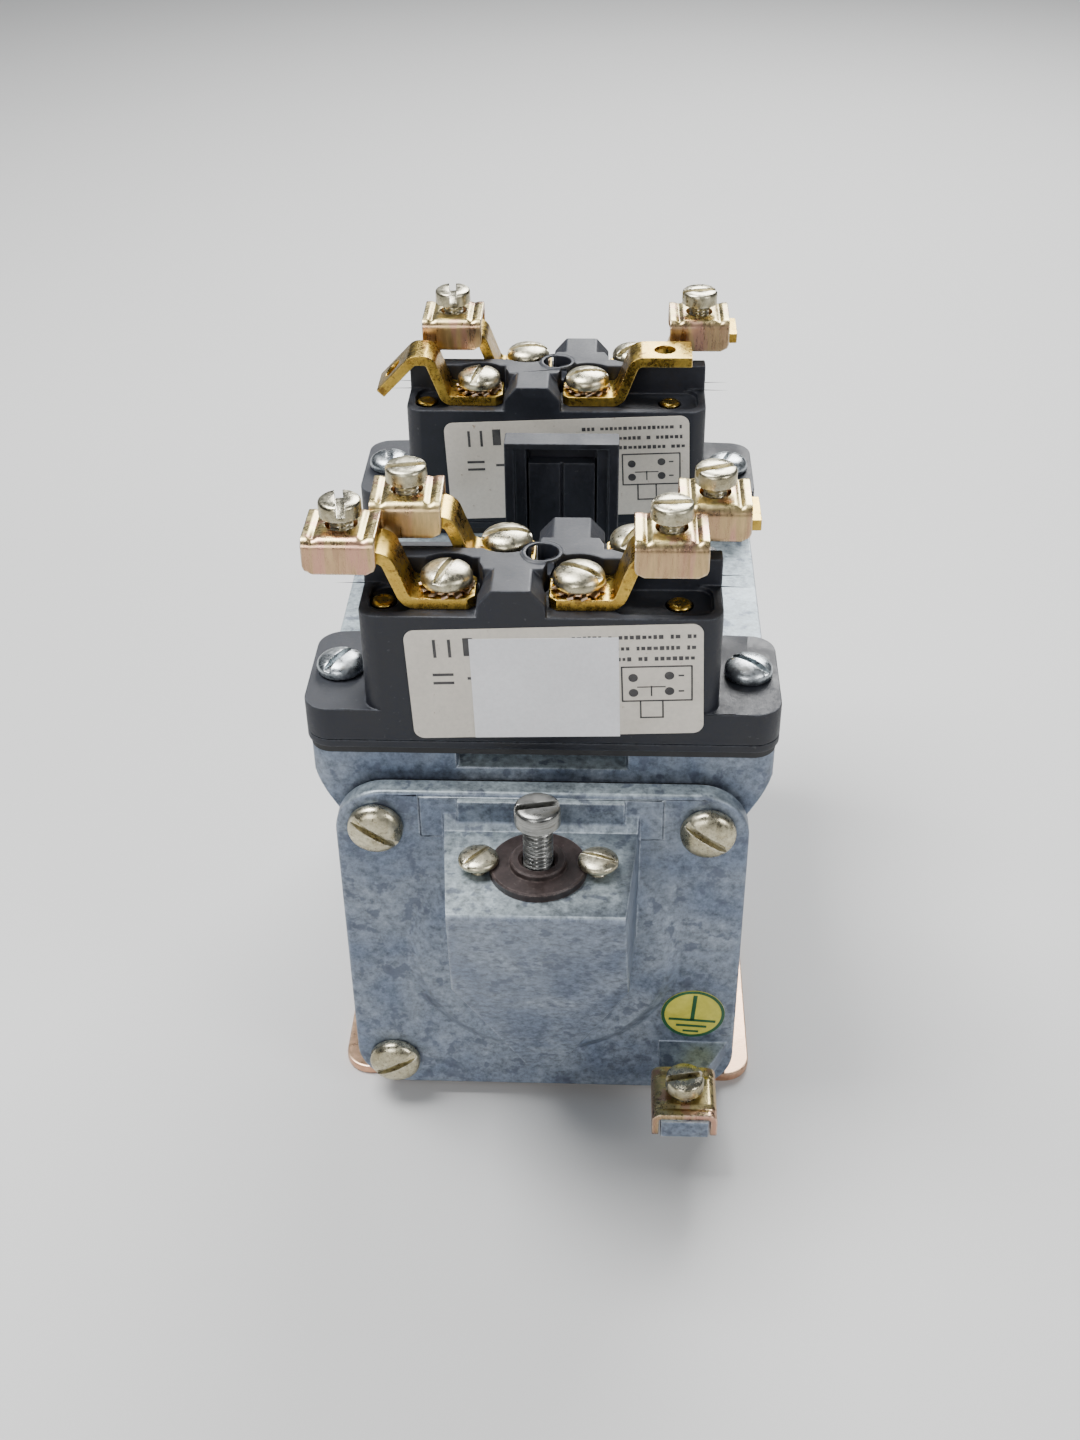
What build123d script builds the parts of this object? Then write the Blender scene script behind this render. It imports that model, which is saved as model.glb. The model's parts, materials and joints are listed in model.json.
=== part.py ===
from build123d import *
from math import atan, degrees
import os

os.makedirs("parts", exist_ok=True)

# Industrial control relay. Millimetres, +Z up, the front faces -Y.
# The origin is the centre of the mounting plate's underside.

# ---- driving dimensions ----

# mounting plate
plate_w = 78.0
plate_l = 97.0
plate_t = 2.0
plate_r = 5.0
fixing_x = 50.0          # fixing holes, spacing across and along the plate
fixing_y = 70.0
fixing_r = 2.2
plate_screw_y = 48.0     # screws that hold the plate to the body

# zinc body
body_w = 68.8
body_l = 96.2
body_h = 76.0
wall = 3.0
deck_t = 4.0
boss_r = 4.4
stem_hole = 12.0         # square hole in the deck under each block
stem_hole_r = 2.0
cover_boss_l = 9.0
plate_boss_h = 11.0
entry_r = 6.0            # lead entry in the rear wall
entry_up = 18.0          # its centre above the mounting plate
lead_r = 3.0
rim_out = 4.5            # the deck stands out past the box below it, on each side
rim_h = 5.5
flare_h = 8.2
rim_r = 3.0
notch_w = 28.5
notch_h = 3.3
notch_d = 4.0

# front cover
cover_w = 70.0
cover_t = 3.6
cover_r = 8.75
edge_cut = 0.8           # the cover's edge, and the shelf's
cover_gap = 1.0          # above the mounting plate
cover_gasket_t = 1.4
cover_screw_pitch = 56.0
window_w = 44.0
window_h = 56.0
disc_r = 24.3            # low round boss on the cover
disc_t = 2.0
disc_lean = 52.0         # slope of its side
disc_drop = 1.0          # its centre below the cover's centre

# setting bracket on the cover
shelf_up = 63.9          # the shelf above the cover's lower edge
shelf_depth = 23.9
shelf_half_front = 14.15
shelf_half_back = 16.5
tip_up = 5.0
tip_half = 2.6
side_straight_up = 41.0
shelf_chamfer = 2.5
nameplate_w = 28.0
nameplate_h = 5.0
nameplate_t = 1.4
insert_w = 41.0          # flat panel round the nameplate
insert_h = 8.4
insert_t = 0.3
bracket_wall = 1.8
shelf_t = 3.5
pocket_w = 12.0
pocket_h = 16.4

# setting mechanism
bush_d = 16.1
bush_t = 1.5
bush_boss_d = 9.4
bush_boss_t = 1.0
bush_body_d = 10.0
bush_from_edge = 11.9    # the bush's axis behind the shelf's front edge
bush_screw_pitch = 19.4
bush_screw_head_r = 3.35
bush_screw_head_h = 1.6
setting_r = 2.5
setting_head_r = 3.8
setting_head_h = 3.5
setting_show = 7.4       # thread that shows between bush and head
setting_below = 1.55     # shank below the shelf's underside
seat_r = 4.0
seat_t = 1.2
bias_len = 5.55
bias_r = 2.7
bias_wire = 0.8
bias_turns = 4
lever_t = 3.5
lever_w = 6.0
lever_hub_r = 3.4
lever_pin_r = 1.5
lever_tail = 25.0        # from the pin to the end under the drive bar

# contact blocks
block_pitch = 74.5
block_in = 5.4           # the case stands in from the body's side
flange_out = 5.1         # the flange stands out past the body's side
flange_h = 6.2
flange_r = 4.5
case_r = 3.0
recess_d = 1.0           # shallow recesses round the rivets
recess_rim = 1.6
recess_r = 2.5
recess_from = 5.2        # they start this far past the terminal screw
block_gasket_t = 1.3
base_t = 1.5
seat_h = 24.3            # terminal seats above the block's underside
ridge_h = 4.9            # ridges above the seats
case_wall = 2.0
roof_t = 4.1
strip_play = 0.5         # between the partition and a strip, both sides together
strip_inset = 2.15       # the strips' outer edges inside the block's front and back
outer_screw = 15.0       # terminal screws from the block's middle
inner_screw = 6.0
outer_stud = 25.4        # rivets of the fixed contacts
inner_stud = 22.1
flank = 2.4              # sloped sides of the middle ridges
flank_from = 2.2         # they start this far above the seats
rim_hole_r = 2.65        # middle hole and the raised rim round it
rim_hole_rim = 3.4
rim_hole_h = 0.25
partition_t = 3.2
scallop_r = 5.7

# terminals
strip_w = 8.0
strip_t = 2.0
strip_back = 4.7
strip_flat = 6.2
strip_ramp = 3.0
strip_rise = 8.2
strip_reach = 20.0
strip_droop = 0.9         # slope of the strip that is bent down
clamp_at = {              # clamp screw beyond the terminal screw, for terminals 1 to 4
    "front": [16.1, 14.4, 16.0, 12.6],
    "rear": [16.4, 14.8, 14.6, 12.6],
}
saddle_gap = 0.55         # between the strip's edge and the saddle's leg
saddle_l = 11.5
saddle_h = 6.0
saddle_t = 1.2
saddle_lift = 1.8        # above the strip, with the clamp open
clamp_head_r = 3.4
clamp_head_h = 2.6
clamp_head_lift = 1.7    # above the saddle
clamp_shank = 6.4        # below the saddle's top
m4_r = 2.0

# earth terminal
lug_x = 25.5
lug_w = 8.5
lug_web = 4.0            # how far the web runs to the side at the cover
lug_t = 3.8
lug_reach = 19.5
lug_top_up = 12.6        # above the cover's lower edge
earth_head_lift = 1.2
earth_at = 13.25         # clamp screw in front of the cover

# labels
label_w = 47.5
label_h = 21.0
label_r = 1.8
label_t = 0.15
label_x = 2.4
label_up = 12.2          # its middle above the block's underside
label_tilt = 2.4
sticker_w = 23.8
sticker_h = 19.2
sticker_x = 0.8
sticker_up = 11.1
sticker_tilt = 1.6
earth_sticker_r = 5.8
earth_sticker_x = 27.2
earth_sticker_up = 19.8

# guide frame and drive bar
frame_x = 2.0            # the frame stands a little off the middle
frame_w = 20.5
frame_d = 4.6
frame_top = 33.9         # above the deck
frame_side = 1.8
frame_roof = 1.2
frame_back = 0.8         # wall behind the tongue
frame_open = 12.0        # the wall and the rails start this far above the deck
frame_foot_w = 34.0
frame_screw_pitch = 27.6
frame_foot_d = 9.0
frame_foot_t = 2.0
tongue_w = 12.0
tongue_t = 2.4
tongue_gap = 4.3         # its top below the frame's top
groove = 0.5
bar_w = 8.0
bar_t = 4.0
bar_gap = 4.0            # below the deck's underside
stem_w = 5.0             # stem between the drive bar and each carrier
stroke = 3.0

# solenoid
yoke_w = 44.0
yoke_d = 32.0
yoke_t = 3.0
yoke_h = 52.0
bobbin_gap = 1.5          # between the bobbin's flanges and the yoke's sides
bobbin_tube_t = 1.7
bobbin_flange_t = 2.0
winding_in = 1.0          # the winding stands in from the flange's rim
plunger_r = 6.2
plunger_play = 0.1
rod_r = 2.5
core_l = 16.0
plunger_gap = 3.5

# clearances
fit = 0.02               # a screw or pin that stays put
run = 0.05               # a shaft that turns or slides
ease = 0.3               # pieces that must not touch

# ---- levels and places worked out from the sizes above ----

rim_w = body_w + 2 * rim_out
block_w = body_w - 2 * block_in
row_pitch = strip_w + partition_t + strip_play
block_d = row_pitch + strip_w + 2 * strip_inset
flange_w = body_w + 2 * flange_out
flange_screw_x = body_w - 0.1        # the flange screws go down into the side walls
deck_top = plate_t + body_h
deck_under = deck_top - deck_t
body_front = -body_l / 2
body_back = body_l / 2
entry_z = plate_t + entry_up
cover_back = body_front - cover_gasket_t
cover_front = cover_back - cover_t
cover_low = plate_t + cover_gap
cover_mid = cover_low + cover_w / 2
cover_screw_places = [
    (-cover_screw_pitch / 2, cover_mid + cover_screw_pitch / 2),
    (cover_screw_pitch / 2, cover_mid + cover_screw_pitch / 2),
    (-cover_screw_pitch / 2, cover_mid - cover_screw_pitch / 2),
]
shelf_top = cover_low + shelf_up
shelf_under = shelf_top - shelf_t
shelf_front = cover_front - shelf_depth
tip_z = cover_low + tip_up
setting_y = shelf_front + bush_from_edge
setting_end = shelf_under - setting_below
seat_low = setting_end - run - seat_t
lever_top = seat_low - bias_len
lever_mid = lever_top - lever_t / 2
lever_y = body_front + wall + 0.1
block_low = deck_top + block_gasket_t + base_t
seat_z = block_low + seat_h
block_top = seat_z + ridge_h
front_y = -block_pitch / 2
rear_y = block_pitch / 2
row_y = row_pitch / 2
bar_top = deck_under - bar_gap
bar_low = bar_top - bar_t
bobbin_r = yoke_w / 2 - yoke_t - bobbin_gap
bobbin_bore_r = plunger_r + plunger_play
bobbin_tube_r = bobbin_bore_r + bobbin_tube_t
winding_r = bobbin_r - winding_in
plate_screw_x = body_w - 2 * wall - 2 * (boss_r - 1.0)    # the bosses sink 1 mm into the side walls
plate_screw_places = [(x * plate_screw_x / 2, y * plate_screw_y / 2) for x in (-1, 1) for y in (-1, 1)]


def front_plane(y):
    """Upright plane at y that faces the front, so extruding goes towards -Y."""
    return Plane.XZ.offset(-y)


def save(part, name):
    part.label = name
    export_step(part, "parts/" + name + ".step")
    print(name, round(part.volume, 1))


def placed(part, x, y, z, turn=0):
    """A copy of a part that was made about the origin, turned about Z and moved."""
    return Location((x, y, z), (0, 0, turn)) * part


def group(pieces):
    return Compound(children=list(pieces))


# ---- mounting plate ----

with BuildPart() as mounting_plate:
    with BuildSketch(Plane.XY):
        RectangleRounded(plate_w, plate_l, plate_r)
        with GridLocations(fixing_x, fixing_y, 2, 2):
            Circle(fixing_r, mode=Mode.SUBTRACT)
    extrude(amount=plate_t)
    for x, y in plate_screw_places:
        with Locations((x, y, 0)):
            Cone(2.9, 1.5 + fit, 1.4, align=(Align.CENTER, Align.CENTER, Align.MIN), mode=Mode.SUBTRACT)
            Cylinder(1.5 + fit, plate_t, align=(Align.CENTER, Align.CENTER, Align.MIN), mode=Mode.SUBTRACT)
save(mounting_plate.part, "mounting_plate")

plate_screw_len = 9.0
with BuildPart() as plate_screw:
    Cone(2.85, 1.5, 1.35, align=(Align.CENTER, Align.CENTER, Align.MIN))
    Cylinder(1.5, plate_screw_len, align=(Align.CENTER, Align.CENTER, Align.MIN))
    Box(6.0, 0.8, 1.2, mode=Mode.SUBTRACT)
save(group(placed(plate_screw.part, x, y, 0) for x, y in plate_screw_places), "plate_screws")

# ---- zinc body ----

with BuildPart() as zinc_body:
    with BuildSketch(front_plane(body_back)):
        with BuildLine():
            Polyline(
                (-body_w / 2, plate_t), (body_w / 2, plate_t),
                (body_w / 2, deck_top - rim_h - flare_h), (rim_w / 2, deck_top - rim_h),
                (rim_w / 2, deck_top), (-rim_w / 2, deck_top),
                (-rim_w / 2, deck_top - rim_h), (-body_w / 2, deck_top - rim_h - flare_h),
                close=True,
            )
        make_face()
    extrude(amount=body_l)
    with BuildSketch(Plane.XY.offset(plate_t)):
        RectangleRounded(rim_w, body_l, rim_r)
    extrude(amount=body_h, mode=Mode.INTERSECT)
    with BuildSketch(Plane.XY.offset(plate_t)):
        Rectangle(body_w - 2 * wall, body_l - 2 * wall)
    extrude(amount=body_h - deck_t, mode=Mode.SUBTRACT)
    # window that the cover closes
    with BuildSketch(front_plane(body_front + wall)):
        with Locations((0, cover_mid)):
            RectangleRounded(window_w, window_h, 3.0)
    extrude(amount=wall, mode=Mode.SUBTRACT)
    # bosses for the cover screws and the mounting plate's screws
    with BuildSketch(front_plane(body_front + wall + cover_boss_l)):
        with Locations(*cover_screw_places):
            Circle(boss_r)
    extrude(amount=cover_boss_l)
    with BuildSketch(Plane.XY.offset(plate_t)):
        with Locations(*plate_screw_places):
            Circle(boss_r)
    extrude(amount=plate_boss_h)
    with BuildSketch(front_plane(body_front + cover_boss_l + 2.0)):
        with Locations(*cover_screw_places):
            Circle(setting_r)
    extrude(amount=cover_boss_l + 2.0, mode=Mode.SUBTRACT)
    with BuildSketch(Plane.XY.offset(plate_t)):
        with Locations(*plate_screw_places):
            Circle(1.5 + fit)
    extrude(amount=plate_boss_h - 2.0, mode=Mode.SUBTRACT)
    # openings in the deck: one under each block and one for the tongue
    with BuildSketch(Plane.XY.offset(deck_under)):
        with Locations((0, front_y), (0, rear_y)):
            RectangleRounded(stem_hole, stem_hole, stem_hole_r)
        with Locations((frame_x, 0)):
            Rectangle(tongue_w + 2 * ease, tongue_t + 2 * ease)
            with GridLocations(frame_screw_pitch, 0, 2, 1):
                Circle(1.5)
    extrude(amount=deck_t, mode=Mode.SUBTRACT)
    with BuildSketch(Plane.XY.offset(deck_top - 8.0)):
        with GridLocations(flange_screw_x, block_pitch, 2, 2):
            Circle(m4_r)
    extrude(amount=8.0, mode=Mode.SUBTRACT)
    # notch in the front edge of the deck
    with BuildSketch(front_plane(body_front + notch_d)):
        with Locations((0, deck_top - notch_h / 2)):
            Rectangle(notch_w, notch_h)
    extrude(amount=notch_d, mode=Mode.SUBTRACT)
    # lead entry in the rear wall
    with BuildSketch(front_plane(body_back)):
        with Locations((0, entry_z)):
            Circle(entry_r)
    extrude(amount=wall, mode=Mode.SUBTRACT)
save(zinc_body.part, "zinc_body")

grommet_out = 1.6        # flange outside the wall, and the smaller one inside it
grommet_in = 1.4
with BuildPart() as lead_grommet:
    with BuildSketch(front_plane(body_back + grommet_out)):
        with Locations((0, entry_z)):
            Circle(entry_r + 2.0)
    extrude(amount=grommet_out)
    with BuildSketch(front_plane(body_back)):
        with Locations((0, entry_z)):
            Circle(entry_r - fit)
    extrude(amount=wall)
    with BuildSketch(front_plane(body_back - wall)):
        with Locations((0, entry_z)):
            Circle(entry_r + 1.4)
    extrude(amount=grommet_in)
    with BuildSketch(front_plane(body_back + grommet_out)):
        with Locations((0, entry_z)):
            Circle(lead_r)
    extrude(amount=grommet_out + wall + grommet_in, mode=Mode.SUBTRACT)
save(lead_grommet.part, "lead_grommet")

# ---- front cover, with its bracket and earth lug ----

with BuildPart() as cover_gasket:
    with BuildSketch(front_plane(body_front)):
        with Locations((0, cover_mid)):
            RectangleRounded(cover_w - 2.0, cover_w - 2.0, cover_r - 1.0)
            RectangleRounded(window_w, window_h, 3.0, mode=Mode.SUBTRACT)
        with Locations(*cover_screw_places):
            Circle(setting_r + ease, mode=Mode.SUBTRACT)
    extrude(amount=cover_gasket_t)
save(cover_gasket.part, "cover_gasket")

# the bracket is a ramp: a wide shelf on top that runs back down into the cover
with BuildPart() as bracket:
    with BuildSketch(Plane.YZ.offset(-cover_w / 2)):
        with BuildLine():
            Polyline(
                (cover_front, tip_z), (shelf_front, shelf_top), (cover_front - shelf_chamfer, shelf_top),
                (cover_front, shelf_top + shelf_chamfer), close=True,
            )
        make_face()
    extrude(amount=cover_w)
    with BuildSketch(front_plane(cover_front)):
        with BuildLine():
            Polyline(
                (-tip_half, tip_z), (tip_half, tip_z), (shelf_half_back, cover_low + side_straight_up),
                (shelf_half_back, shelf_top + shelf_chamfer), (-shelf_half_back, shelf_top + shelf_chamfer),
                (-shelf_half_back, cover_low + side_straight_up), close=True,
            )
        make_face()
    extrude(amount=shelf_depth, mode=Mode.INTERSECT)
    with BuildSketch(Plane.XY):
        with BuildLine():
            Polyline(
                (-shelf_half_back, cover_front), (shelf_half_back, cover_front),
                (shelf_half_front, shelf_front), (-shelf_half_front, shelf_front), close=True,
            )
        make_face()
    extrude(amount=shelf_top + shelf_chamfer, mode=Mode.INTERSECT)
    front_edge = bracket.edges().filter_by(Axis.X).sort_by(Axis.Y)[0]
    chamfer(front_edge, edge_cut)

ramp_slope = shelf_depth / (shelf_top - tip_z)
pocket_low = shelf_under - pocket_h
ear_t = 2.0
ear_gap = lever_w + 3.4
with BuildPart() as front_cover:
    with BuildSketch(front_plane(cover_back)):
        with Locations((0, cover_mid)):
            RectangleRounded(cover_w, cover_w, cover_r)
    extrude(amount=cover_t)
    edge_loop = front_cover.faces().sort_by(Axis.Y)[0].edges()
    fillet(edge_loop, edge_cut)
    with BuildSketch(front_plane(cover_front)):
        with Locations((0, cover_mid - disc_drop)):
            Circle(disc_r)
    extrude(amount=disc_t, taper=disc_lean)
    with BuildSketch(front_plane(cover_front)):
        with Locations((0, cover_low + cover_w - edge_cut - nameplate_h / 2)):
            Rectangle(nameplate_w, nameplate_h)
    extrude(amount=nameplate_t)
    with BuildSketch(front_plane(cover_front)):
        with Locations((0, cover_low + cover_w - edge_cut - insert_h / 2)):
            Rectangle(insert_w, insert_h)
    extrude(amount=insert_t)
    add(bracket.part)
    # earth lug with its web
    with BuildSketch(Plane.XY.offset(cover_low + lug_top_up - lug_t)):
        with Locations((lug_x, cover_front - lug_reach / 2)):
            Rectangle(lug_w, lug_reach)
        with BuildLine():
            Polyline(
                (lug_x + lug_w / 2, cover_front), (lug_x + lug_w / 2 + lug_web, cover_front),
                (lug_x + lug_w / 2, cover_front - 1.8 * lug_web), close=True,
            )
        make_face()
    extrude(amount=lug_t)
    with Locations((lug_x, cover_front - earth_at, cover_low + lug_top_up)):
        Cylinder(m4_r, 2 * lug_t, mode=Mode.SUBTRACT)
    # the pocket behind the shelf, open to the back
    with BuildSketch(Plane.YZ.offset(-pocket_w / 2)):
        pocket_front_low = cover_front - ramp_slope * (pocket_low - tip_z) + bracket_wall
        pocket_front_high = cover_front - ramp_slope * (shelf_under - tip_z) + bracket_wall
        with BuildLine():
            Polyline(
                (cover_back, pocket_low), (pocket_front_low, pocket_low),
                (pocket_front_high, shelf_under), (cover_back, shelf_under), close=True,
            )
        make_face()
    extrude(amount=pocket_w, mode=Mode.SUBTRACT)
    # ears for the lever's pin
    for side in (-1, 1):
        with Locations((side * (ear_gap + ear_t) / 2, (cover_back + lever_y + 2.6) / 2, lever_mid)):
            Box(ear_t, lever_y + 2.6 - cover_back, 7.0)
    with BuildSketch(Plane.YZ.offset(-ear_gap)):
        with Locations((lever_y, lever_mid)):
            Circle(lever_pin_r + fit)
    extrude(amount=2 * ear_gap, mode=Mode.SUBTRACT)
    # bush, bush screws and cover screws
    with BuildSketch(Plane.XY.offset(shelf_under)):
        with Locations((0, setting_y)):
            Circle(bush_body_d / 2 + fit)
            with GridLocations(bush_screw_pitch, 0, 2, 1):
                Circle(1.5 + fit)
    extrude(amount=shelf_t, mode=Mode.SUBTRACT)
    with BuildSketch(front_plane(cover_back)):
        with Locations(*cover_screw_places):
            Circle(setting_r + ease)
    extrude(amount=cover_t, mode=Mode.SUBTRACT)
save(front_cover.part, "front_cover")


def pan_screw(shank_r, shank_l, head_r, head_h, slot_w):
    """Slotted pan head screw along Z, with its head's underside at Z = 0."""
    with BuildPart() as screw:
        with BuildSketch(Plane.XZ):
            with BuildLine():
                crown = Spline((head_r, head_h * 0.35), (head_r * 0.72, head_h * 0.86), (0, head_h))
                Polyline((head_r, head_h * 0.35), (head_r, 0), (shank_r, 0), (shank_r, -shank_l),
                         (0, -shank_l), (0, head_h))
            make_face()
        revolve(axis=Axis.Z)
        with Locations((0, 0, head_h)):
            Box(3 * head_r, slot_w, head_h * 0.9, mode=Mode.SUBTRACT)
    return screw.part


def cheese_screw(shank_r, shank_l, head_r, head_h, slot_w):
    """Slotted cheese head screw along Z, with its head's underside at Z = 0."""
    with BuildPart() as screw:
        with BuildSketch(Plane.XY):
            Circle(head_r)
        extrude(amount=head_h)
        chamfer(screw.faces().sort_by(Axis.Z)[-1].edges(), head_h * 0.12)
        with BuildSketch(Plane.XY.offset(-shank_l)):
            Circle(shank_r)
        extrude(amount=shank_l)
        with Locations((0, 0, head_h)):
            Box(3 * head_r, slot_w, head_h * 0.9, mode=Mode.SUBTRACT)
    return screw.part


cover_screw = pan_screw(setting_r - fit, 12.0, 4.75, 3.0, 1.2)
towards_front = Location((0, 0, 0), (90, 0, 0))
cover_screw_slots = [-35, -35, 30]
save(
    group(
        Location((x, cover_front, z)) * towards_front * Location((0, 0, 0), (0, 0, turn)) * cover_screw
        for (x, z), turn in zip(cover_screw_places, cover_screw_slots)
    ),
    "cover_screws",
)

# ---- setting mechanism ----

with BuildPart() as setting_bush:
    with BuildSketch(Plane.XY.offset(shelf_under)):
        with Locations((0, setting_y)):
            Circle(bush_body_d / 2)
    extrude(amount=shelf_t)
    with BuildSketch(Plane.XY.offset(shelf_top)):
        with Locations((0, setting_y)):
            Circle(bush_d / 2)
    extrude(amount=bush_t)
    with BuildSketch(Plane.XY.offset(shelf_top + bush_t)):
        with Locations((0, setting_y)):
            Circle(bush_boss_d / 2)
    extrude(amount=bush_boss_t)
    with BuildSketch(Plane.XY.offset(shelf_under)):
        with Locations((0, setting_y)):
            Circle(setting_r + run)
    extrude(amount=shelf_t + bush_t + bush_boss_t, mode=Mode.SUBTRACT)
save(setting_bush.part, "setting_bush")

bush_screw = pan_screw(1.5, bush_t + shelf_t - 0.4, bush_screw_head_r, bush_screw_head_h, 0.9)
save(
    group(placed(bush_screw, side * bush_screw_pitch / 2, setting_y, shelf_top + bush_t, 35 * side)
          for side in (-1, 1)),
    "bush_screws",
)

setting_head_z = shelf_top + bush_t + bush_boss_t + setting_show
setting_screw = cheese_screw(setting_r, setting_head_z - setting_end, setting_head_r, setting_head_h, 1.2)
save(placed(setting_screw, 0, setting_y, setting_head_z, 20), "setting_screw")

with BuildPart() as spring_seat:
    with BuildSketch(Plane.XY.offset(seat_low)):
        with Locations((0, setting_y)):
            Circle(seat_r)
    extrude(amount=seat_t)
    with BuildSketch(Plane.XY.offset(seat_low - 0.8)):
        with Locations((0, setting_y)):
            Circle(bias_r - bias_wire / 2 - 0.2)
    extrude(amount=0.8)
save(spring_seat.part, "spring_seat")


def coil_spring(mean_r, wire_d, length, turns):
    """Compression spring that stands on Z = 0 and is as tall as its length."""
    rise = length - wire_d
    with BuildPart() as spring:
        with BuildLine() as wire:
            Helix(pitch=rise / turns, height=rise, radius=mean_r)
        with BuildSketch(Plane(origin=wire.line @ 0, z_dir=wire.line % 0)):
            Circle(wire_d / 2)
        sweep(is_frenet=True)
    return Location((0, 0, wire_d / 2)) * spring.part


bias_spring = coil_spring(bias_r, bias_wire, bias_len - 2 * run, bias_turns)
save(placed(bias_spring, 0, setting_y, lever_top + run), "bias_spring")

with BuildPart() as lever:
    with BuildSketch(Plane.XY.offset(lever_top - lever_t)):
        with Locations((0, setting_y)):
            Circle(2.6)
        with Locations((0, (setting_y + lever_y + lever_tail) / 2)):
            Rectangle(lever_w - 1.0, lever_y + lever_tail - setting_y)
    extrude(amount=lever_t)
    with BuildSketch(Plane.YZ.offset(-lever_w / 2 - 1.2)):
        with Locations((lever_y, lever_mid)):
            Circle(lever_hub_r)
    extrude(amount=lever_w + 2.4)
    with BuildSketch(Plane.YZ.offset(-lever_w)):
        with Locations((lever_y, lever_mid)):
            Circle(lever_pin_r + run)
    extrude(amount=2 * lever_w, mode=Mode.SUBTRACT)
save(lever.part, "lever")

with BuildPart() as lever_pin:
    with BuildSketch(Plane.YZ.offset(-ear_gap / 2 - ear_t - 0.4)):
        with Locations((lever_y, lever_mid)):
            Circle(lever_pin_r)
    extrude(amount=ear_gap + 2 * ear_t + 0.8)
save(lever_pin.part, "lever_pin")

# ---- contact blocks: one block is made about the origin, and the second is a copy ----

outer_pocket_in = outer_screw - strip_back - 0.3
inner_pocket_in = inner_screw - strip_back - 0.4
with BuildPart() as block:
    with BuildSketch(Plane.XY.offset(block_low)):
        RectangleRounded(flange_w, block_d, flange_r)
    extrude(amount=flange_h)
    with BuildSketch(Plane.XY.offset(block_low)):
        RectangleRounded(block_w, block_d, case_r)
    extrude(amount=seat_h + ridge_h)
    # a pocket for each terminal: the rear row is the front row turned half a turn
    with BuildSketch(Plane.XY.offset(seat_z)):
        for turn in (0, 180):
            with Locations(Location((0, 0, 0), (0, 0, turn))):
                pocket_d = block_d / 2 - partition_t / 2 + 1.0
                pocket_mid = -partition_t / 2 - pocket_d / 2
                outer_len = block_w / 2 + 1.0 - outer_pocket_in
                inner_len = block_w / 2 + 1.0 - inner_pocket_in
                with Locations((-outer_pocket_in - outer_len / 2, pocket_mid)):
                    Rectangle(outer_len, pocket_d)
                with Locations((inner_pocket_in + inner_len / 2, pocket_mid)):
                    Rectangle(inner_len, pocket_d)
                with Locations((-outer_screw, -row_y), (inner_screw, -row_y)):
                    Circle(scallop_r)
    extrude(amount=ridge_h, mode=Mode.SUBTRACT)
    # sloped sides of the two middle ridges
    flank_l = block_d / 2 - 2.0 - partition_t
    for side, flank_back in ((1, -2.0 - partition_t), (-1, block_d / 2)):
        with BuildSketch(front_plane(flank_back)):
            for foot_x, lean in ((-outer_pocket_in, flank), (inner_pocket_in, -flank)):
                with BuildLine():
                    Polyline((side * foot_x, seat_z + flank_from), (side * (foot_x + lean), block_top),
                             (side * foot_x, block_top), close=True)
                make_face()
        extrude(amount=flank_l, mode=Mode.SUBTRACT)
    # recesses round the rivets
    recess_out = block_w / 2 - recess_rim
    recess_w = block_d / 2 - recess_rim - partition_t / 2
    recess_mid = -partition_t / 2 - recess_w / 2
    with BuildSketch(Plane.XY.offset(seat_z - recess_d)):
        for turn in (0, 180):
            with Locations(Location((0, 0, 0), (0, 0, turn))):
                for side, screw_x in ((-1, outer_screw), (1, inner_screw)):
                    recess_in = screw_x + recess_from
                    with Locations((side * (recess_in + recess_out) / 2, recess_mid)):
                        RectangleRounded(recess_out - recess_in, recess_w, recess_r)
    extrude(amount=recess_d, mode=Mode.SUBTRACT)
    # middle hole in its raised rim
    with BuildSketch(Plane.XY.offset(block_top)):
        Circle(rim_hole_rim)
    extrude(amount=rim_hole_h)
    with BuildSketch(Plane.XY.offset(block_top - 3.0)):
        Circle(rim_hole_r)
    extrude(amount=3.0 + rim_hole_h, mode=Mode.SUBTRACT)
    # hollow underside
    with BuildSketch(Plane.XY.offset(block_low)):
        RectangleRounded(block_w - 2 * case_wall, block_d - 2 * case_wall, 1.0)
    extrude(amount=seat_h - roof_t, mode=Mode.SUBTRACT)
    # terminal screw holes, stud holes and flange screw holes
    with BuildSketch(Plane.XY.offset(seat_z - roof_t)):
        for turn in (0, 180):
            with Locations(Location((0, 0, 0), (0, 0, turn))):
                with Locations((-outer_screw, -row_y), (inner_screw, -row_y)):
                    Circle(m4_r + 0.1)
                with Locations((-outer_stud, -row_y), (inner_stud, -row_y)):
                    Circle(2.2)
    extrude(amount=roof_t, mode=Mode.SUBTRACT)
    with BuildSketch(Plane.XY.offset(block_low)):
        with GridLocations(flange_screw_x, 0, 2, 1):
            Circle(m4_r + 0.2)
    extrude(amount=flange_h, mode=Mode.SUBTRACT)

with BuildPart() as block_base:
    with BuildSketch(Plane.XY.offset(deck_top + block_gasket_t)):
        RectangleRounded(flange_w, block_d, flange_r)
        RectangleRounded(stem_w + 2.0, stem_w + 2.0, 1.0, mode=Mode.SUBTRACT)
        with GridLocations(flange_screw_x, 0, 2, 1):
            Circle(m4_r + 0.2, mode=Mode.SUBTRACT)
    extrude(amount=base_t)

with BuildPart() as block_gasket:
    with BuildSketch(Plane.XY.offset(deck_top)):
        RectangleRounded(flange_w - 1.0, block_d - 1.0, flange_r - 0.5)
        RectangleRounded(stem_hole, stem_hole, stem_hole_r, mode=Mode.SUBTRACT)
        with GridLocations(flange_screw_x, 0, 2, 1):
            Circle(m4_r + 0.2, mode=Mode.SUBTRACT)
    extrude(amount=block_gasket_t)

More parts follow.
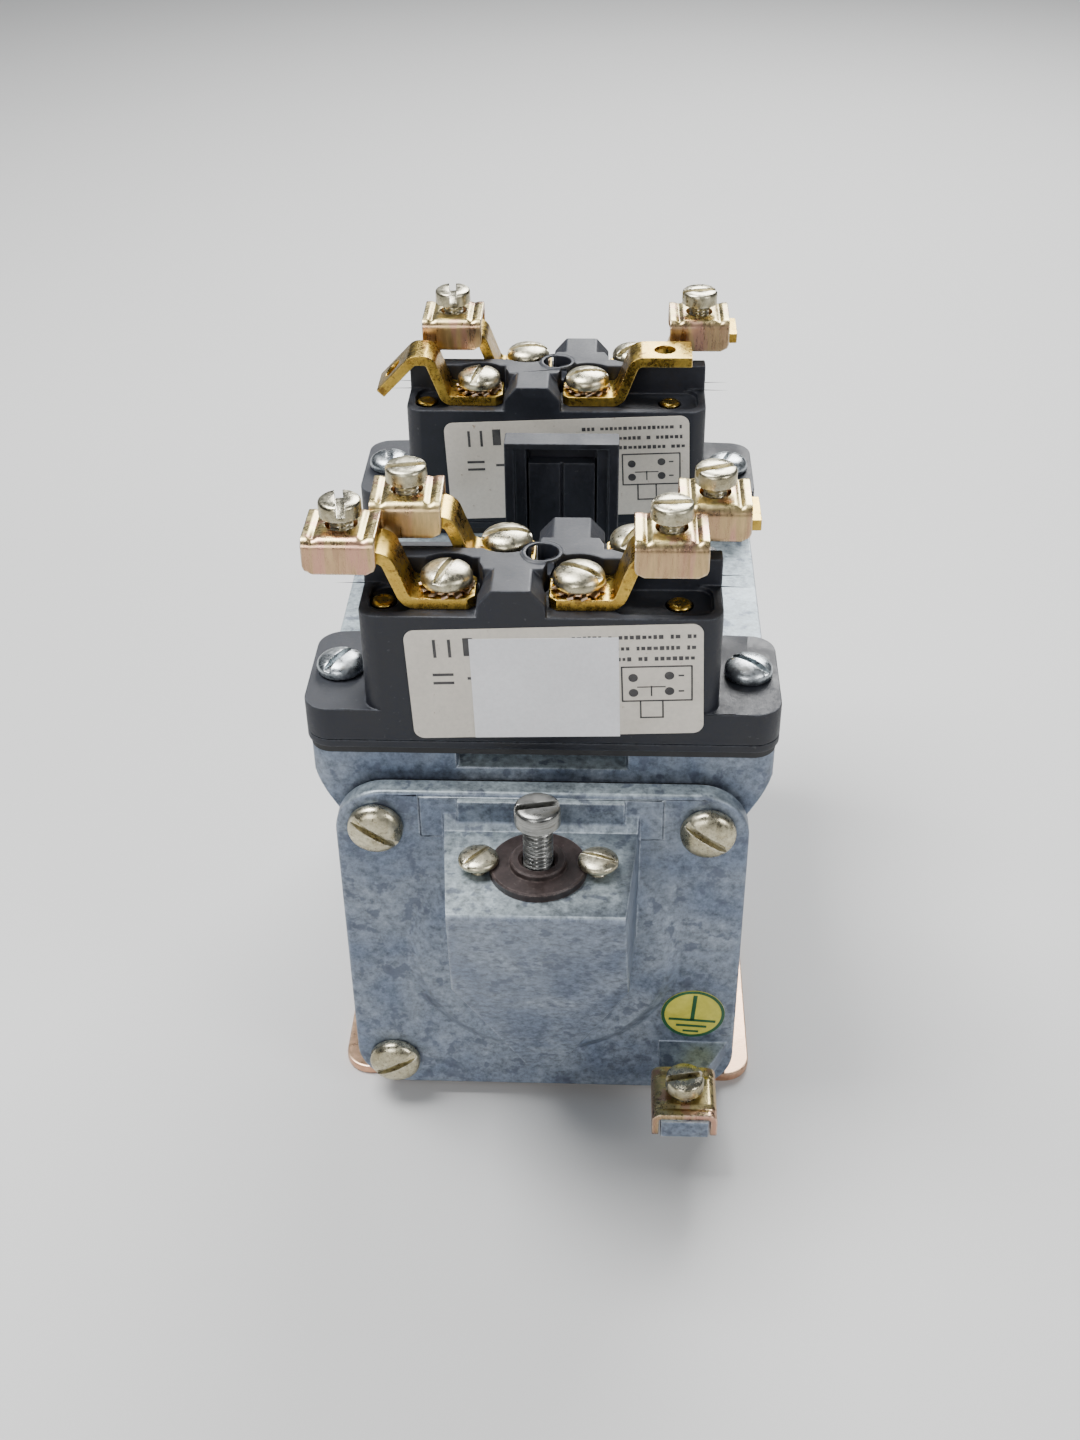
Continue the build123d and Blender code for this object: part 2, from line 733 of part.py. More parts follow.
block_places = {"front": front_y, "rear": rear_y}
for name, y in block_places.items():
    save(placed(block.part, 0, y, 0), name + "_block_case")
save(group(placed(block_base.part, 0, y, 0) for y in block_places.values()), "block_base_plates")
save(group(placed(block_gasket.part, 0, y, 0) for y in block_places.values()), "block_gaskets")

flange_screw = pan_screw(m4_r - fit, flange_h + block_gasket_t + base_t + 7.0, 4.1, 2.8, 1.1)
save(
    group(placed(flange_screw, x * flange_screw_x / 2, y, block_low + flange_h, turn)
          for y in block_places.values() for x, turn in ((-1, 60), (1, -40))),
    "flange_screws",
)

# labels on the blocks' front faces, and the sticker on the front one
with BuildPart() as label:
    with BuildSketch(front_plane(-block_d / 2)):
        with Locations(Location((label_x, block_low + label_up), (0, 0, label_tilt))):
            RectangleRounded(label_w, label_h, label_r)
    extrude(amount=label_t)
save(group(placed(label.part, 0, y, 0) for y in block_places.values()), "block_labels")
with BuildPart() as stock_sticker:
    with BuildSketch(front_plane(front_y - block_d / 2 - label_t)):
        with Locations(Location((sticker_x, block_low + sticker_up), (0, 0, sticker_tilt))):
            Rectangle(sticker_w, sticker_h)
    extrude(amount=label_t)
save(stock_sticker.part, "stock_sticker")


# ---- terminals ----

def terminal_strip(hole_at, droop=0.0):
    """Bent strip that points along +X. Its screw is at the origin, and it lies on Z = 0."""
    middle = strip_t / 2
    high = strip_rise + middle
    start_x = -strip_back
    bend_x = strip_flat + strip_ramp
    with BuildPart() as strip:
        with BuildLine():
            if droop:
                knee = bend_x + 3.2
                drop = droop * (strip_reach - knee)
                FilletPolyline((start_x, 0, middle), (strip_flat, 0, middle), (bend_x, 0, high),
                               (knee, 0, high), (strip_reach - 1.0, 0, high - drop), radius=1.6)
            else:
                FilletPolyline((start_x, 0, middle), (strip_flat, 0, middle), (bend_x, 0, high),
                               (strip_reach, 0, high), radius=2.2)
        with BuildSketch(Plane(origin=(start_x, 0, middle), x_dir=(0, 1, 0), z_dir=(1, 0, 0))):
            Rectangle(strip_w, strip_t)
        sweep()
        back_corners = strip.edges().filter_by(Axis.Z).sort_by(Axis.X)[:2]
        chamfer(back_corners, 1.2)
        with Locations((0, 0, 0)):
            Cylinder(m4_r + 0.2, 2 * strip_t + 0.2, mode=Mode.SUBTRACT)
        if droop:
            hole_z = high - droop * (hole_at - knee)
            lean = degrees(atan(droop))
        else:
            hole_z = high
            lean = 0
        with Locations((hole_at, 0, hole_z)):
            Cylinder(m4_r, 4 * strip_t, rotation=(0, lean, 0), mode=Mode.SUBTRACT)
    return strip.part


# place of each terminal in a block: x of the screw, row, and the turn that points it outwards
terminals = [
    (-outer_screw, -row_y, 180),
    (inner_screw, -row_y, 0),
    (-inner_screw, row_y, 180),
    (outer_screw, row_y, 0),
]
for name, y in block_places.items():
    for number, (screw_x, row, turn) in enumerate(terminals, start=1):
        bent_down = name == "rear" and number == 1
        strip_shape = terminal_strip(clamp_at[name][number - 1], strip_droop if bent_down else 0)
        save(placed(strip_shape, screw_x, y + row, seat_z, turn), f"{name}_strip_{number}")

washer_t = 0.9
with BuildPart() as star_washer:
    with BuildSketch(Plane.XY):
        Circle(4.0)
        with PolarLocations(4.0, 12):
            Rectangle(1.0, 1.2)
        Circle(m4_r + 0.15, mode=Mode.SUBTRACT)
    extrude(amount=washer_t)
terminal_screw = pan_screw(m4_r - fit, strip_t + washer_t + roof_t + 1.6, 4.25, 2.9, 1.2)
screw_turns = [70, -35, 100, 60, 80, 15, 120, 55]
screw_spots = [(x, y + row) for y in block_places.values() for x, row, turn in terminals]
save(
    group(placed(star_washer.part, x, y, seat_z + strip_t, 10 * i) for i, (x, y) in enumerate(screw_spots)),
    "star_washers",
)
save(
    group(placed(terminal_screw, x, y, seat_z + strip_t + washer_t, turn)
          for (x, y), turn in zip(screw_spots, screw_turns)),
    "terminal_screws",
)

saddle_w = strip_w + 2 * saddle_gap + 2 * saddle_t
with BuildPart() as saddle:
    with BuildSketch(Plane.YZ.offset(-saddle_l / 2)):
        with Locations((0, -saddle_h / 2)):
            Rectangle(saddle_w, saddle_h)
        with Locations((0, -saddle_t - saddle_h / 2)):
            Rectangle(saddle_w - 2 * saddle_t, saddle_h, mode=Mode.SUBTRACT)
    extrude(amount=saddle_l)
    top_edges = saddle.edges().filter_by(Axis.X).group_by(Axis.Z)[-1]
    fillet(top_edges, saddle_t * 0.95)
    Cylinder(2.5, 4 * saddle_t, mode=Mode.SUBTRACT)
clamp_screw = cheese_screw(m4_r - run, clamp_head_lift + clamp_shank, clamp_head_r, clamp_head_h, 1.2)

saddle_top = seat_z + strip_rise + strip_t + saddle_lift + saddle_t
clamp_turns = [100, 5, 10, 20, 0, 0, 95, 10]
for index, (name, y) in enumerate(block_places.items()):
    for number, (screw_x, row, turn) in enumerate(terminals, start=1):
        # the rear block's front clamps are missing
        if name == "rear" and number < 3:
            continue
        out = -1 if turn else 1
        x = screw_x + out * clamp_at[name][number - 1]
        save(placed(saddle.part, x, y + row, saddle_top), f"{name}_saddle_{number}")
        slot_turn = clamp_turns[4 * index + number - 1]
        head_z = saddle_top + clamp_head_lift
        save(placed(clamp_screw, x, y + row, head_z, slot_turn), f"{name}_clamp_screw_{number}")

# earth terminal: the same saddle, turned so that its open ends face front and back
lug_top = cover_low + lug_top_up
earth_y = cover_front - earth_at
save(placed(saddle.part, lug_x, earth_y, lug_top + run + saddle_t, 90), "earth_saddle")
earth_screw = cheese_screw(m4_r - run, 8.0, clamp_head_r, clamp_head_h, 1.2)
save(placed(earth_screw, lug_x, earth_y, lug_top + run + saddle_t + earth_head_lift, 12), "earth_clamp_screw")

with BuildPart() as earth_sticker:
    with BuildSketch(front_plane(cover_front)):
        with Locations((earth_sticker_x, cover_low + earth_sticker_up)):
            Circle(earth_sticker_r)
    extrude(amount=label_t)
save(earth_sticker.part, "earth_sticker")

# ---- inside the blocks: fixed contacts, carriers, bridges and springs ----

bridge_t = 0.8
bridge_w = 4.6
tip_t = 0.88
tip_r = 1.6
bridge_half = 13.15
tab_t = 2.0
pad_t = 1.5
post_t = 2.0
rivet_r = 1.5
pole_mid = (outer_screw - inner_screw) / 2
roof_under = seat_z - roof_t
closed_pad_z = block_low + 5.2      # top of the pads that the closed bridge rests on
closed_bridge_z = closed_pad_z + fit + tip_t
open_bridge_z = closed_bridge_z + 5.1
open_pad_z = open_bridge_z + bridge_t + tip_t + stroke + run


def fixed_contact(screw_x, stud_x, bridge_mid, closed):
    """Contact on the +X side of a row: tab under the roof, post, and the pad that the bridge meets."""
    with BuildPart() as contact:
        tab_in = screw_x - m4_r - 0.6
        tab_out = stud_x + rivet_r - 0.1
        with Locations(((tab_in + tab_out) / 2, 0, roof_under - tab_t / 2)):
            Box(tab_out - tab_in, bridge_w, tab_t)
        pad_out = bridge_half + bridge_mid
        if closed:
            post_low = closed_pad_z - pad_t
            with Locations((pad_out + 1.6, 0, (post_low + roof_under) / 2)):
                Box(post_t, bridge_w, roof_under - post_low)
            with Locations((pad_out - 1.4, 0, closed_pad_z - pad_t / 2)):
                Box(8.0, bridge_w, pad_t)
        else:
            with Locations((pad_out - 2.0, 0, (open_pad_z + roof_under) / 2)):
                Box(5.0, bridge_w, roof_under - open_pad_z)
        with Locations((stud_x, 0, roof_under + (roof_t - 0.6) / 2)):
            Cylinder(rivet_r, roof_t - 0.6)
        with Locations((screw_x, 0, roof_under - tab_t / 2)):
            Cylinder(m4_r, tab_t + 1.0, mode=Mode.SUBTRACT)
    return contact.part


contact_pieces = []
for y in block_places.values():
    for row, closed, turn in ((-row_y, True, 180), (row_y, False, 0)):
        # the outer terminal's contact comes first, and the inner one's is turned to face it
        outer_piece = fixed_contact(outer_screw, outer_stud, pole_mid, closed)
        contact_pieces.append(placed(outer_piece, 0, y + row, 0, turn))
        inner_piece = fixed_contact(inner_screw, inner_stud, -pole_mid, closed)
        contact_pieces.append(placed(inner_piece, 0, y + row, 0, turn + 180))
save(group(contact_pieces), "fixed_contacts")

with BuildPart() as bridge:
    Box(2 * bridge_half, bridge_w, bridge_t, align=(Align.CENTER, Align.CENTER, Align.MIN))
    with GridLocations(2 * bridge_half - 5.0, 0, 2, 1):
        Cylinder(tip_r, tip_t, align=(Align.CENTER, Align.CENTER, Align.MAX))
bridge_pieces = []
for y in block_places.values():
    bridge_pieces.append(placed(bridge.part, -pole_mid, y - row_y, closed_bridge_z))
    upside_down = Location((pole_mid, y + row_y, open_bridge_z + bridge_t), (180, 0, 0))
    bridge_pieces.append(upside_down * bridge.part)
save(group(bridge_pieces), "contact_bridges")

window_low = closed_pad_z - 0.4
window_high = window_low + 9.4
carrier_d = block_d - 2 * case_wall - 4 * ease
carrier_low = block_low + 3.2
with BuildPart() as carrier:
    with Locations((0, 0, bar_top)):
        Box(stem_w, stem_w, carrier_low - bar_top + 1.0, align=(Align.CENTER, Align.CENTER, Align.MIN))
    with Locations((0, 0, carrier_low)):
        Box(6.0, carrier_d, window_high + 1.6 - carrier_low, align=(Align.CENTER, Align.CENTER, Align.MIN))
    for side in (-1, 1):
        with Locations((0, side * row_y, window_low)):
            Box(6.2, bridge_w + 0.6, window_high - window_low, align=(Align.CENTER, Align.CENTER, Align.MIN),
                mode=Mode.SUBTRACT)
for name, y in block_places.items():
    save(placed(carrier.part, 0, y, 0), name + "_carrier")

closed_spring_len = window_high - closed_bridge_z - bridge_t
open_spring_len = open_bridge_z - window_low
closed_spring = coil_spring(1.5, 0.35, closed_spring_len - 2 * run, 5)
open_spring = coil_spring(1.5, 0.35, open_spring_len - 2 * run, 5)
spring_pieces = []
for y in block_places.values():
    spring_pieces.append(placed(closed_spring, 0, y - row_y, closed_bridge_z + bridge_t + run))
    spring_pieces.append(placed(open_spring, 0, y + row_y, window_low + run))
save(group(spring_pieces), "contact_springs")

# ---- guide frame and drive bar ----

with BuildPart() as guide_frame:
    with BuildSketch(Plane.XY.offset(deck_top)):
        with Locations((frame_x, 0)):
            RectangleRounded(frame_foot_w, frame_foot_d, 1.5)
    extrude(amount=frame_foot_t)
    with BuildSketch(Plane.XY.offset(deck_top)):
        with Locations((frame_x, 0)):
            Rectangle(frame_w, frame_d)
    extrude(amount=frame_top)
    inner_w = frame_w - 2 * frame_side
    with BuildSketch(front_plane(frame_d / 2)):
        with Locations((frame_x, deck_top + (frame_top - frame_roof + frame_foot_t) / 2)):
            Rectangle(inner_w, frame_top - frame_roof - frame_foot_t)
    extrude(amount=frame_d, mode=Mode.SUBTRACT)
    # back wall, and rails that guide the tongue
    rail = (inner_w - tongue_w) / 2 - ease
    upper = frame_top - frame_roof - frame_open
    with Locations((frame_x, (frame_d - frame_back) / 2, deck_top + frame_open)):
        Box(inner_w, frame_back, upper, align=(Align.CENTER, Align.CENTER, Align.MIN))
    for side in (-1, 1):
        with Locations((frame_x + side * (inner_w - rail) / 2, 0, deck_top + frame_open)):
            Box(rail, frame_d - 1.6, upper, align=(Align.CENTER, Align.CENTER, Align.MIN))
    with BuildSketch(Plane.XY.offset(deck_top)):
        with Locations((frame_x, 0)):
            Rectangle(tongue_w + 2 * ease, tongue_t + 2 * ease)
            with GridLocations(frame_screw_pitch, 0, 2, 1):
                Circle(1.5)
    extrude(amount=frame_foot_t, mode=Mode.SUBTRACT)
save(guide_frame.part, "guide_frame")

foot_screw = pan_screw(1.5 - fit, frame_foot_t + 3.5, 2.8, 1.8, 0.8)
save(
    group(placed(foot_screw, frame_x + side * frame_screw_pitch / 2, 0, deck_top + frame_foot_t, 25)
          for side in (-1, 1)),
    "frame_screws",
)

tongue_top = deck_top + frame_top - tongue_gap
striker_low = lever_top + run
striker_y = lever_y + lever_tail - 1.6
with BuildPart() as drive_bar:
    with BuildSketch(Plane.XY.offset(bar_low)):
        RectangleRounded(bar_w, block_pitch + 6.0, 1.0)
    extrude(amount=bar_t)
    with Locations((frame_x, 0, bar_top)):
        Box(tongue_w, tongue_t, tongue_top - bar_top, align=(Align.CENTER, Align.CENTER, Align.MIN))
    # groove down the middle of the tongue
    with Locations((frame_x, -tongue_t / 2, deck_top + frame_foot_t)):
        Box(groove, 2 * groove, frame_top, align=(Align.CENTER, Align.CENTER, Align.MIN), mode=Mode.SUBTRACT)
    with Locations((0, striker_y, striker_low)):
        Box(lever_w, 3.2, bar_low - striker_low + 1.0, align=(Align.CENTER, Align.CENTER, Align.MIN))
save(drive_bar.part, "drive_bar")

# ---- solenoid ----

yoke_low = plate_t
yoke_top = yoke_low + yoke_h
with BuildPart() as yoke:
    with BuildSketch(front_plane(yoke_d / 2)):
        with Locations((0, yoke_low + yoke_h / 2)):
            Rectangle(yoke_w, yoke_h)
            Rectangle(yoke_w - 2 * yoke_t, yoke_h - 2 * yoke_t, mode=Mode.SUBTRACT)
    extrude(amount=yoke_d)
    with BuildSketch(Plane.XY.offset(yoke_top - yoke_t)):
        Circle(rod_r + 1.5)
    extrude(amount=yoke_t, mode=Mode.SUBTRACT)
save(yoke.part, "yoke")

bobbin_low = yoke_low + yoke_t + ease / 3
bobbin_top = yoke_top - yoke_t - ease / 3
with BuildPart() as coil_bobbin:
    with BuildSketch(Plane.XY.offset(bobbin_low)):
        Circle(bobbin_r)
    extrude(amount=bobbin_flange_t)
    with BuildSketch(Plane.XY.offset(bobbin_top - bobbin_flange_t)):
        Circle(bobbin_r)
    extrude(amount=bobbin_flange_t)
    with BuildSketch(Plane.XY.offset(bobbin_low)):
        Circle(bobbin_tube_r)
    extrude(amount=bobbin_top - bobbin_low)
    with BuildSketch(Plane.XY.offset(bobbin_low)):
        Circle(bobbin_bore_r)
    extrude(amount=bobbin_top - bobbin_low, mode=Mode.SUBTRACT)
save(coil_bobbin.part, "coil_bobbin")

with BuildPart() as coil_winding:
    with BuildSketch(Plane.XY.offset(bobbin_low + bobbin_flange_t)):
        Circle(winding_r)
        Circle(bobbin_tube_r + fit, mode=Mode.SUBTRACT)
    extrude(amount=bobbin_top - bobbin_low - 2 * bobbin_flange_t)
save(coil_winding.part, "coil_winding")

core_low = bobbin_top - core_l
counterbore_r = 4.6
counterbore_h = 8.0
with BuildPart() as fixed_core:
    with BuildSketch(Plane.XY.offset(core_low)):
        Circle(bobbin_bore_r - fit)
        Circle(rod_r + run, mode=Mode.SUBTRACT)
    extrude(amount=yoke_top - yoke_t - core_low)
    with BuildSketch(Plane.XY.offset(yoke_top - yoke_t)):
        Circle(rod_r + 1.5 - fit)
        Circle(rod_r + run, mode=Mode.SUBTRACT)
    extrude(amount=yoke_t)
    with BuildSketch(Plane.XY.offset(core_low)):
        Circle(counterbore_r)
    extrude(amount=counterbore_h, mode=Mode.SUBTRACT)
save(fixed_core.part, "fixed_core")

plunger_top = core_low - plunger_gap
plunger_low = bobbin_low + ease
with BuildPart() as armature_plunger:
    with BuildSketch(Plane.XY.offset(plunger_low)):
        Circle(plunger_r)
    extrude(amount=plunger_top - plunger_low)
    with BuildSketch(Plane.XY.offset(plunger_top)):
        Circle(rod_r)
    extrude(amount=bar_low - plunger_top)
save(armature_plunger.part, "armature_plunger")

return_len = core_low + counterbore_h - plunger_top
return_spring = coil_spring(3.7, 0.9, return_len - 2 * run, 6)
save(placed(return_spring, 0, 0, plunger_top + run), "return_spring")
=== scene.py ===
import bmesh
import bpy
import json
import math
import random
from mathutils import Matrix, Vector


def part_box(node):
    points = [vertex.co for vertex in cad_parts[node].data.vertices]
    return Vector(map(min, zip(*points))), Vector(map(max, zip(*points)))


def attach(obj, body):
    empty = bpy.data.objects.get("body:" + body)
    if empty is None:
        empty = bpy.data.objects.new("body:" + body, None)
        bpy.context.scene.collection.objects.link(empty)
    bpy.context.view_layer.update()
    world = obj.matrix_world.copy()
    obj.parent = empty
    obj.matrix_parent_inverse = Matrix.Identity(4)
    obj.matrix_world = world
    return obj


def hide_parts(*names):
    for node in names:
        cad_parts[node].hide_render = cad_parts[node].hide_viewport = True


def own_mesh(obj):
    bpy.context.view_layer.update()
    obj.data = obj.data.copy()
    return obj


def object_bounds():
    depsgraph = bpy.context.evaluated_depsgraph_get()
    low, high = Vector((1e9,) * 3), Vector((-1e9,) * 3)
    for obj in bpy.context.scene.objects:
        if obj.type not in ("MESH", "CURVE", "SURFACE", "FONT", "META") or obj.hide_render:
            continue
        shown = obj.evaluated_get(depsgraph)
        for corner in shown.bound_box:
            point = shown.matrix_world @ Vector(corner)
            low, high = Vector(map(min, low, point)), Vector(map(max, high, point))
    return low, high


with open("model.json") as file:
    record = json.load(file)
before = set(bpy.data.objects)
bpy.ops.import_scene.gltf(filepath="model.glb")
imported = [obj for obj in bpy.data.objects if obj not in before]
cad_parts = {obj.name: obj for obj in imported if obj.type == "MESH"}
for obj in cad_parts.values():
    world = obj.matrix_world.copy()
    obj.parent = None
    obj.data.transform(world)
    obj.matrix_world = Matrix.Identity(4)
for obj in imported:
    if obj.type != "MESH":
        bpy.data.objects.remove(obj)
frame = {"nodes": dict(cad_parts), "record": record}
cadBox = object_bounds()
nodes = frame["nodes"]
bodyOf = {node: body for body, members in frame["record"]["behaviour"]["bodies"].items() for node in members}
slotOf = {row["node"]: row["material_slot"] for row in frame["record"]["subparts"]}
mm = 0.001
rng = random.Random(11)
print("frame loaded:", len(nodes), "nodes")


# places and turns

def shift(x, y, z):
    return Matrix.Translation((x, y, z))


def spin(angle, axis):
    return Matrix.Rotation(math.radians(angle), 4, axis)


# camera

cameraLook = {"place": (10.9, -275.7, 247.8), "down": 35.603, "turn": 2.799, "roll": -0.797, "lens": 42.62}


def addCamera(look):
    camera = bpy.data.objects.new("camera", bpy.data.cameras.new("camera"))
    bpy.context.scene.collection.objects.link(camera)
    aim = spin(look["turn"], "Z") @ spin(90 - look["down"], "X") @ spin(look["roll"], "Z")
    camera.matrix_world = Matrix.Translation(Vector(look["place"]) * mm) @ aim
    camera.data.lens = look["lens"]
    camera.data.sensor_width = 36
    camera.data.sensor_fit = "AUTO"
    camera.data.clip_start = 0.01
    bpy.context.scene.camera = camera


addCamera(cameraLook)
print("camera placed")


# finishes: one dictionary each, and one builder that turns a dictionary into nodes

# 'edge' is a light colour for edge wear mixed with a painted edge highlight
# in each look, 'top' is a painted highlight colour for faces that point upwards, standing in for light from
# above
finishLooks = {
    "zincCasting": {
        "low": (0.165, 0.205, 0.28), "high": (0.29, 0.335, 0.40),
        "patch": 85, "grain": 800, "grainAmount": 0.62,
        "top": (0.42, 0.49, 0.52), "topAmount": 0.85, "spot": (0.085, 0.10, 0.145), "spotScale": 330,
        "spotFrom": 0.57, "spotAmount": 0.62, "edge": (0.62, 0.67, 0.74), "edgeAmount": 0.6,
        "rough": (0.38, 0.6), "metal": 0.6, "bump": 0.3, "bumpDepth": 0.14,
    },
    "blackThermoset": {
        "low": (0.0035, 0.0045, 0.010), "high": (0.0075, 0.0095, 0.018),
        "patch": 90, "grain": 1500, "grainAmount": 0.5,
        "top": (0.020, 0.023, 0.031), "topAmount": 0.8, "spot": (0.07, 0.07, 0.075), "spotScale": 1100,
        "spotFrom": 0.67, "spotAmount": 0.4, "edge": (0.13, 0.14, 0.16), "edgeAmount": 0.45,
        "rough": (0.42, 0.62), "metal": 0.0, "bump": 0.3, "bumpDepth": 0.1,
    },
    "stripBrass": {
        "low": (0.42, 0.25, 0.045), "high": (0.66, 0.44, 0.085),
        "patch": 140, "grain": 1600, "grainAmount": 0.35,
        "top": (0.78, 0.56, 0.13), "topAmount": 0.7, "spot": (0.16, 0.085, 0.025), "spotScale": 520,
        "spotFrom": 0.60, "spotAmount": 0.8, "edge": (0.9, 0.72, 0.32), "edgeAmount": 0.4,
        "rough": (0.2, 0.42), "metal": 1.0, "bump": 0.25, "bumpDepth": 0.08,
    },
    "yellowChromate": {
        "low": (0.50, 0.30, 0.19), "high": (0.64, 0.47, 0.23),
        "patch": 220, "grain": 1500, "grainAmount": 0.3,
        "top": (0.68, 0.58, 0.27), "topAmount": 0.8, "spot": (0.58, 0.29, 0.24), "spotScale": 240,
        "spotFrom": 0.54, "spotAmount": 0.6, "edge": (0.95, 0.93, 0.76), "edgeAmount": 0.7,
        "rough": (0.22, 0.38), "metal": 1.0, "bump": 0.2, "bumpDepth": 0.06, "stretch": (1, 1, 0.15),
    },
    "screwChromate": {
        "low": (0.42, 0.37, 0.24), "high": (0.66, 0.61, 0.44),
        "patch": 260, "grain": 1400, "grainAmount": 0.45,
        "top": (0.74, 0.70, 0.54), "topAmount": 0.7, "spot": (0.22, 0.17, 0.10), "spotScale": 700,
        "spotFrom": 0.63, "spotAmount": 0.6, "edge": (0.92, 0.90, 0.82), "edgeAmount": 0.6,
        "rough": (0.22, 0.4), "metal": 1.0, "bump": 0.35, "bumpDepth": 0.1,
    },
    "brightZinc": {
        "low": (0.42, 0.47, 0.50), "high": (0.64, 0.68, 0.70),
        "patch": 240, "grain": 1500, "grainAmount": 0.4,
        "top": (0.68, 0.71, 0.72), "topAmount": 0.6, "spot": (0.20, 0.22, 0.23), "spotScale": 700,
        "spotFrom": 0.63, "spotAmount": 0.55, "edge": (0.9, 0.92, 0.93), "edgeAmount": 0.5,
        "rough": (0.22, 0.42), "metal": 1.0, "bump": 0.3, "bumpDepth": 0.08,
    },
    "washerSteel": {
        "low": (0.46, 0.28, 0.20), "high": (0.70, 0.50, 0.34),
        "patch": 400, "grain": 1500, "grainAmount": 0.3,
        "top": (0.74, 0.58, 0.36), "topAmount": 0.6, "edge": (0.95, 0.8, 0.6), "edgeAmount": 0.6,
        "rough": (0.25, 0.4), "metal": 1.0, "bump": 0.2, "bumpDepth": 0.06,
    },
    "plateChromate": {
        "low": (0.62, 0.33, 0.20), "high": (0.80, 0.50, 0.33),
        "patch": 60, "grain": 900, "grainAmount": 0.3,
        "top": (0.78, 0.55, 0.36), "topAmount": 0.5, "spot": (0.58, 0.26, 0.20), "spotScale": 120,
        "spotFrom": 0.58, "spotAmount": 0.5, "edge": (0.92, 0.82, 0.7), "edgeAmount": 0.5,
        "rough": (0.26, 0.42), "metal": 1.0, "bump": 0.12, "bumpDepth": 0.06,
    },
    "brownPhenolic": {
        "low": (0.016, 0.011, 0.010), "high": (0.034, 0.022, 0.021),
        "patch": 300, "grain": 1600, "grainAmount": 0.5,
        "top": (0.036, 0.024, 0.023), "topAmount": 0.6, "spot": (0.09, 0.07, 0.065), "spotScale": 1200,
        "spotFrom": 0.64, "spotAmount": 0.5, "edge": (0.17, 0.13, 0.12), "edgeAmount": 0.5,
        "rough": (0.32, 0.5), "metal": 0.0, "bump": 0.3, "bumpDepth": 0.06,
    },
    "gasketRubber": {
        "low": (0.012, 0.012, 0.013), "high": (0.028, 0.028, 0.03),
        "patch": 200, "grain": 1500, "grainAmount": 0.5,
        "rough": (0.6, 0.8), "metal": 0.0, "bump": 0.4, "bumpDepth": 0.1,
    },
    "naturalNylon": {
        "low": (0.60, 0.57, 0.49), "high": (0.72, 0.69, 0.61),
        "patch": 80, "grain": 900, "grainAmount": 0.12,
        "rough": (0.38, 0.5), "metal": 0.0, "bump": 0.15, "bumpDepth": 0.08,
    },
    "enamelledCopper": {
        "low": (0.42, 0.14, 0.06), "high": (0.62, 0.26, 0.12),
        "patch": 200, "grain": 1200, "grainAmount": 0.3,
        "rough": (0.2, 0.32), "metal": 1.0, "bump": 0.1, "bumpDepth": 0.05,
    },
    "softIron": {
        "low": (0.26, 0.26, 0.27), "high": (0.42, 0.42, 0.42),
        "patch": 120, "grain": 1200, "grainAmount": 0.4,
        "spot": (0.16, 0.11, 0.08), "spotScale": 300, "spotFrom": 0.62, "spotAmount": 0.4,
        "rough": (0.34, 0.5), "metal": 1.0, "bump": 0.2, "bumpDepth": 0.08,
    },
    "turnedSteel": {
        "low": (0.22, 0.22, 0.21), "high": (0.36, 0.36, 0.34),
        "patch": 260, "grain": 1500, "grainAmount": 0.4,
        "top": (0.34, 0.34, 0.32), "topAmount": 0.5, "spot": (0.12, 0.10, 0.085), "spotScale": 600,
        "spotFrom": 0.62, "spotAmount": 0.6, "edge": (0.80, 0.80, 0.78), "edgeAmount": 0.6,
        "rough": (0.24, 0.4), "metal": 1.0, "bump": 0.25, "bumpDepth": 0.06, "stretch": (0.3, 0.3, 2.5),
    },
    "springWire": {
        "low": (0.30, 0.29, 0.27), "high": (0.50, 0.48, 0.44),
        "patch": 300, "grain": 1500, "grainAmount": 0.3,
        "rough": (0.22, 0.36), "metal": 1.0, "bump": 0.15, "bumpDepth": 0.05,
    },
    "labelPaper": {
        "low": (0.60, 0.555, 0.48), "high": (0.68, 0.635, 0.56),
        "patch": 60, "grain": 1200, "grainAmount": 0.10,
        "spot": (0.26, 0.16, 0.08), "spotScale": 900, "spotFrom": 0.68, "spotAmount": 0.7,
        "rough": (0.42, 0.6), "metal": 0.0, "bump": 0.12, "bumpDepth": 0.05,
    },
    "stickerPaper": {
        "low": (0.74, 0.74, 0.76), "high": (0.82, 0.82, 0.84),
        "patch": 50, "grain": 1500, "grainAmount": 0.08,
        "spot": (0.50, 0.42, 0.34), "spotScale": 500, "spotFrom": 0.72, "spotAmount": 0.4,
        "rough": (0.5, 0.62), "metal": 0.0, "bump": 0.12, "bumpDepth": 0.04,
    },
    "earthYellow": {
        "low": (0.52, 0.48, 0.06), "high": (0.62, 0.58, 0.09),
        "patch": 200, "grain": 900, "grainAmount": 0.15,
        "rough": (0.35, 0.5), "metal": 0.0, "bump": 0.08, "bumpDepth": 0.04,
    },
    "earthGreen": {
        "low": (0.012, 0.075, 0.028), "high": (0.022, 0.11, 0.045),
        "patch": 200, "grain": 900, "grainAmount": 0.15,
        "rough": (0.35, 0.5), "metal": 0.0, "bump": 0.08, "bumpDepth": 0.04,
    },
    "labelInk": {
        "low": (0.035, 0.033, 0.035), "high": (0.07, 0.066, 0.066),
        "patch": 300, "grain": 2500, "grainAmount": 0.3,
        "rough": (0.45, 0.6), "metal": 0.0, "bump": 0.05, "bumpDepth": 0.03,
    },
}


def put(tree, kind, values=None, props=None, **links):
    node = tree.nodes.new("ShaderNode" + kind)
    for key, value in (props or {}).items():
        setattr(node, key, value)
    for key, value in (values or {}).items():
        node.inputs[key].default_value = value
    for key, socket in links.items():
        tree.links.new(socket, node.inputs[key])
    return node.outputs[0]


def spread(tree, value, fromLow, fromHigh, toLow, toHigh):
    sockets = {"From Min": fromLow, "From Max": fromHigh, "To Min": toLow, "To Max": toHigh}
    return put(tree, "MapRange", sockets, Value=value)


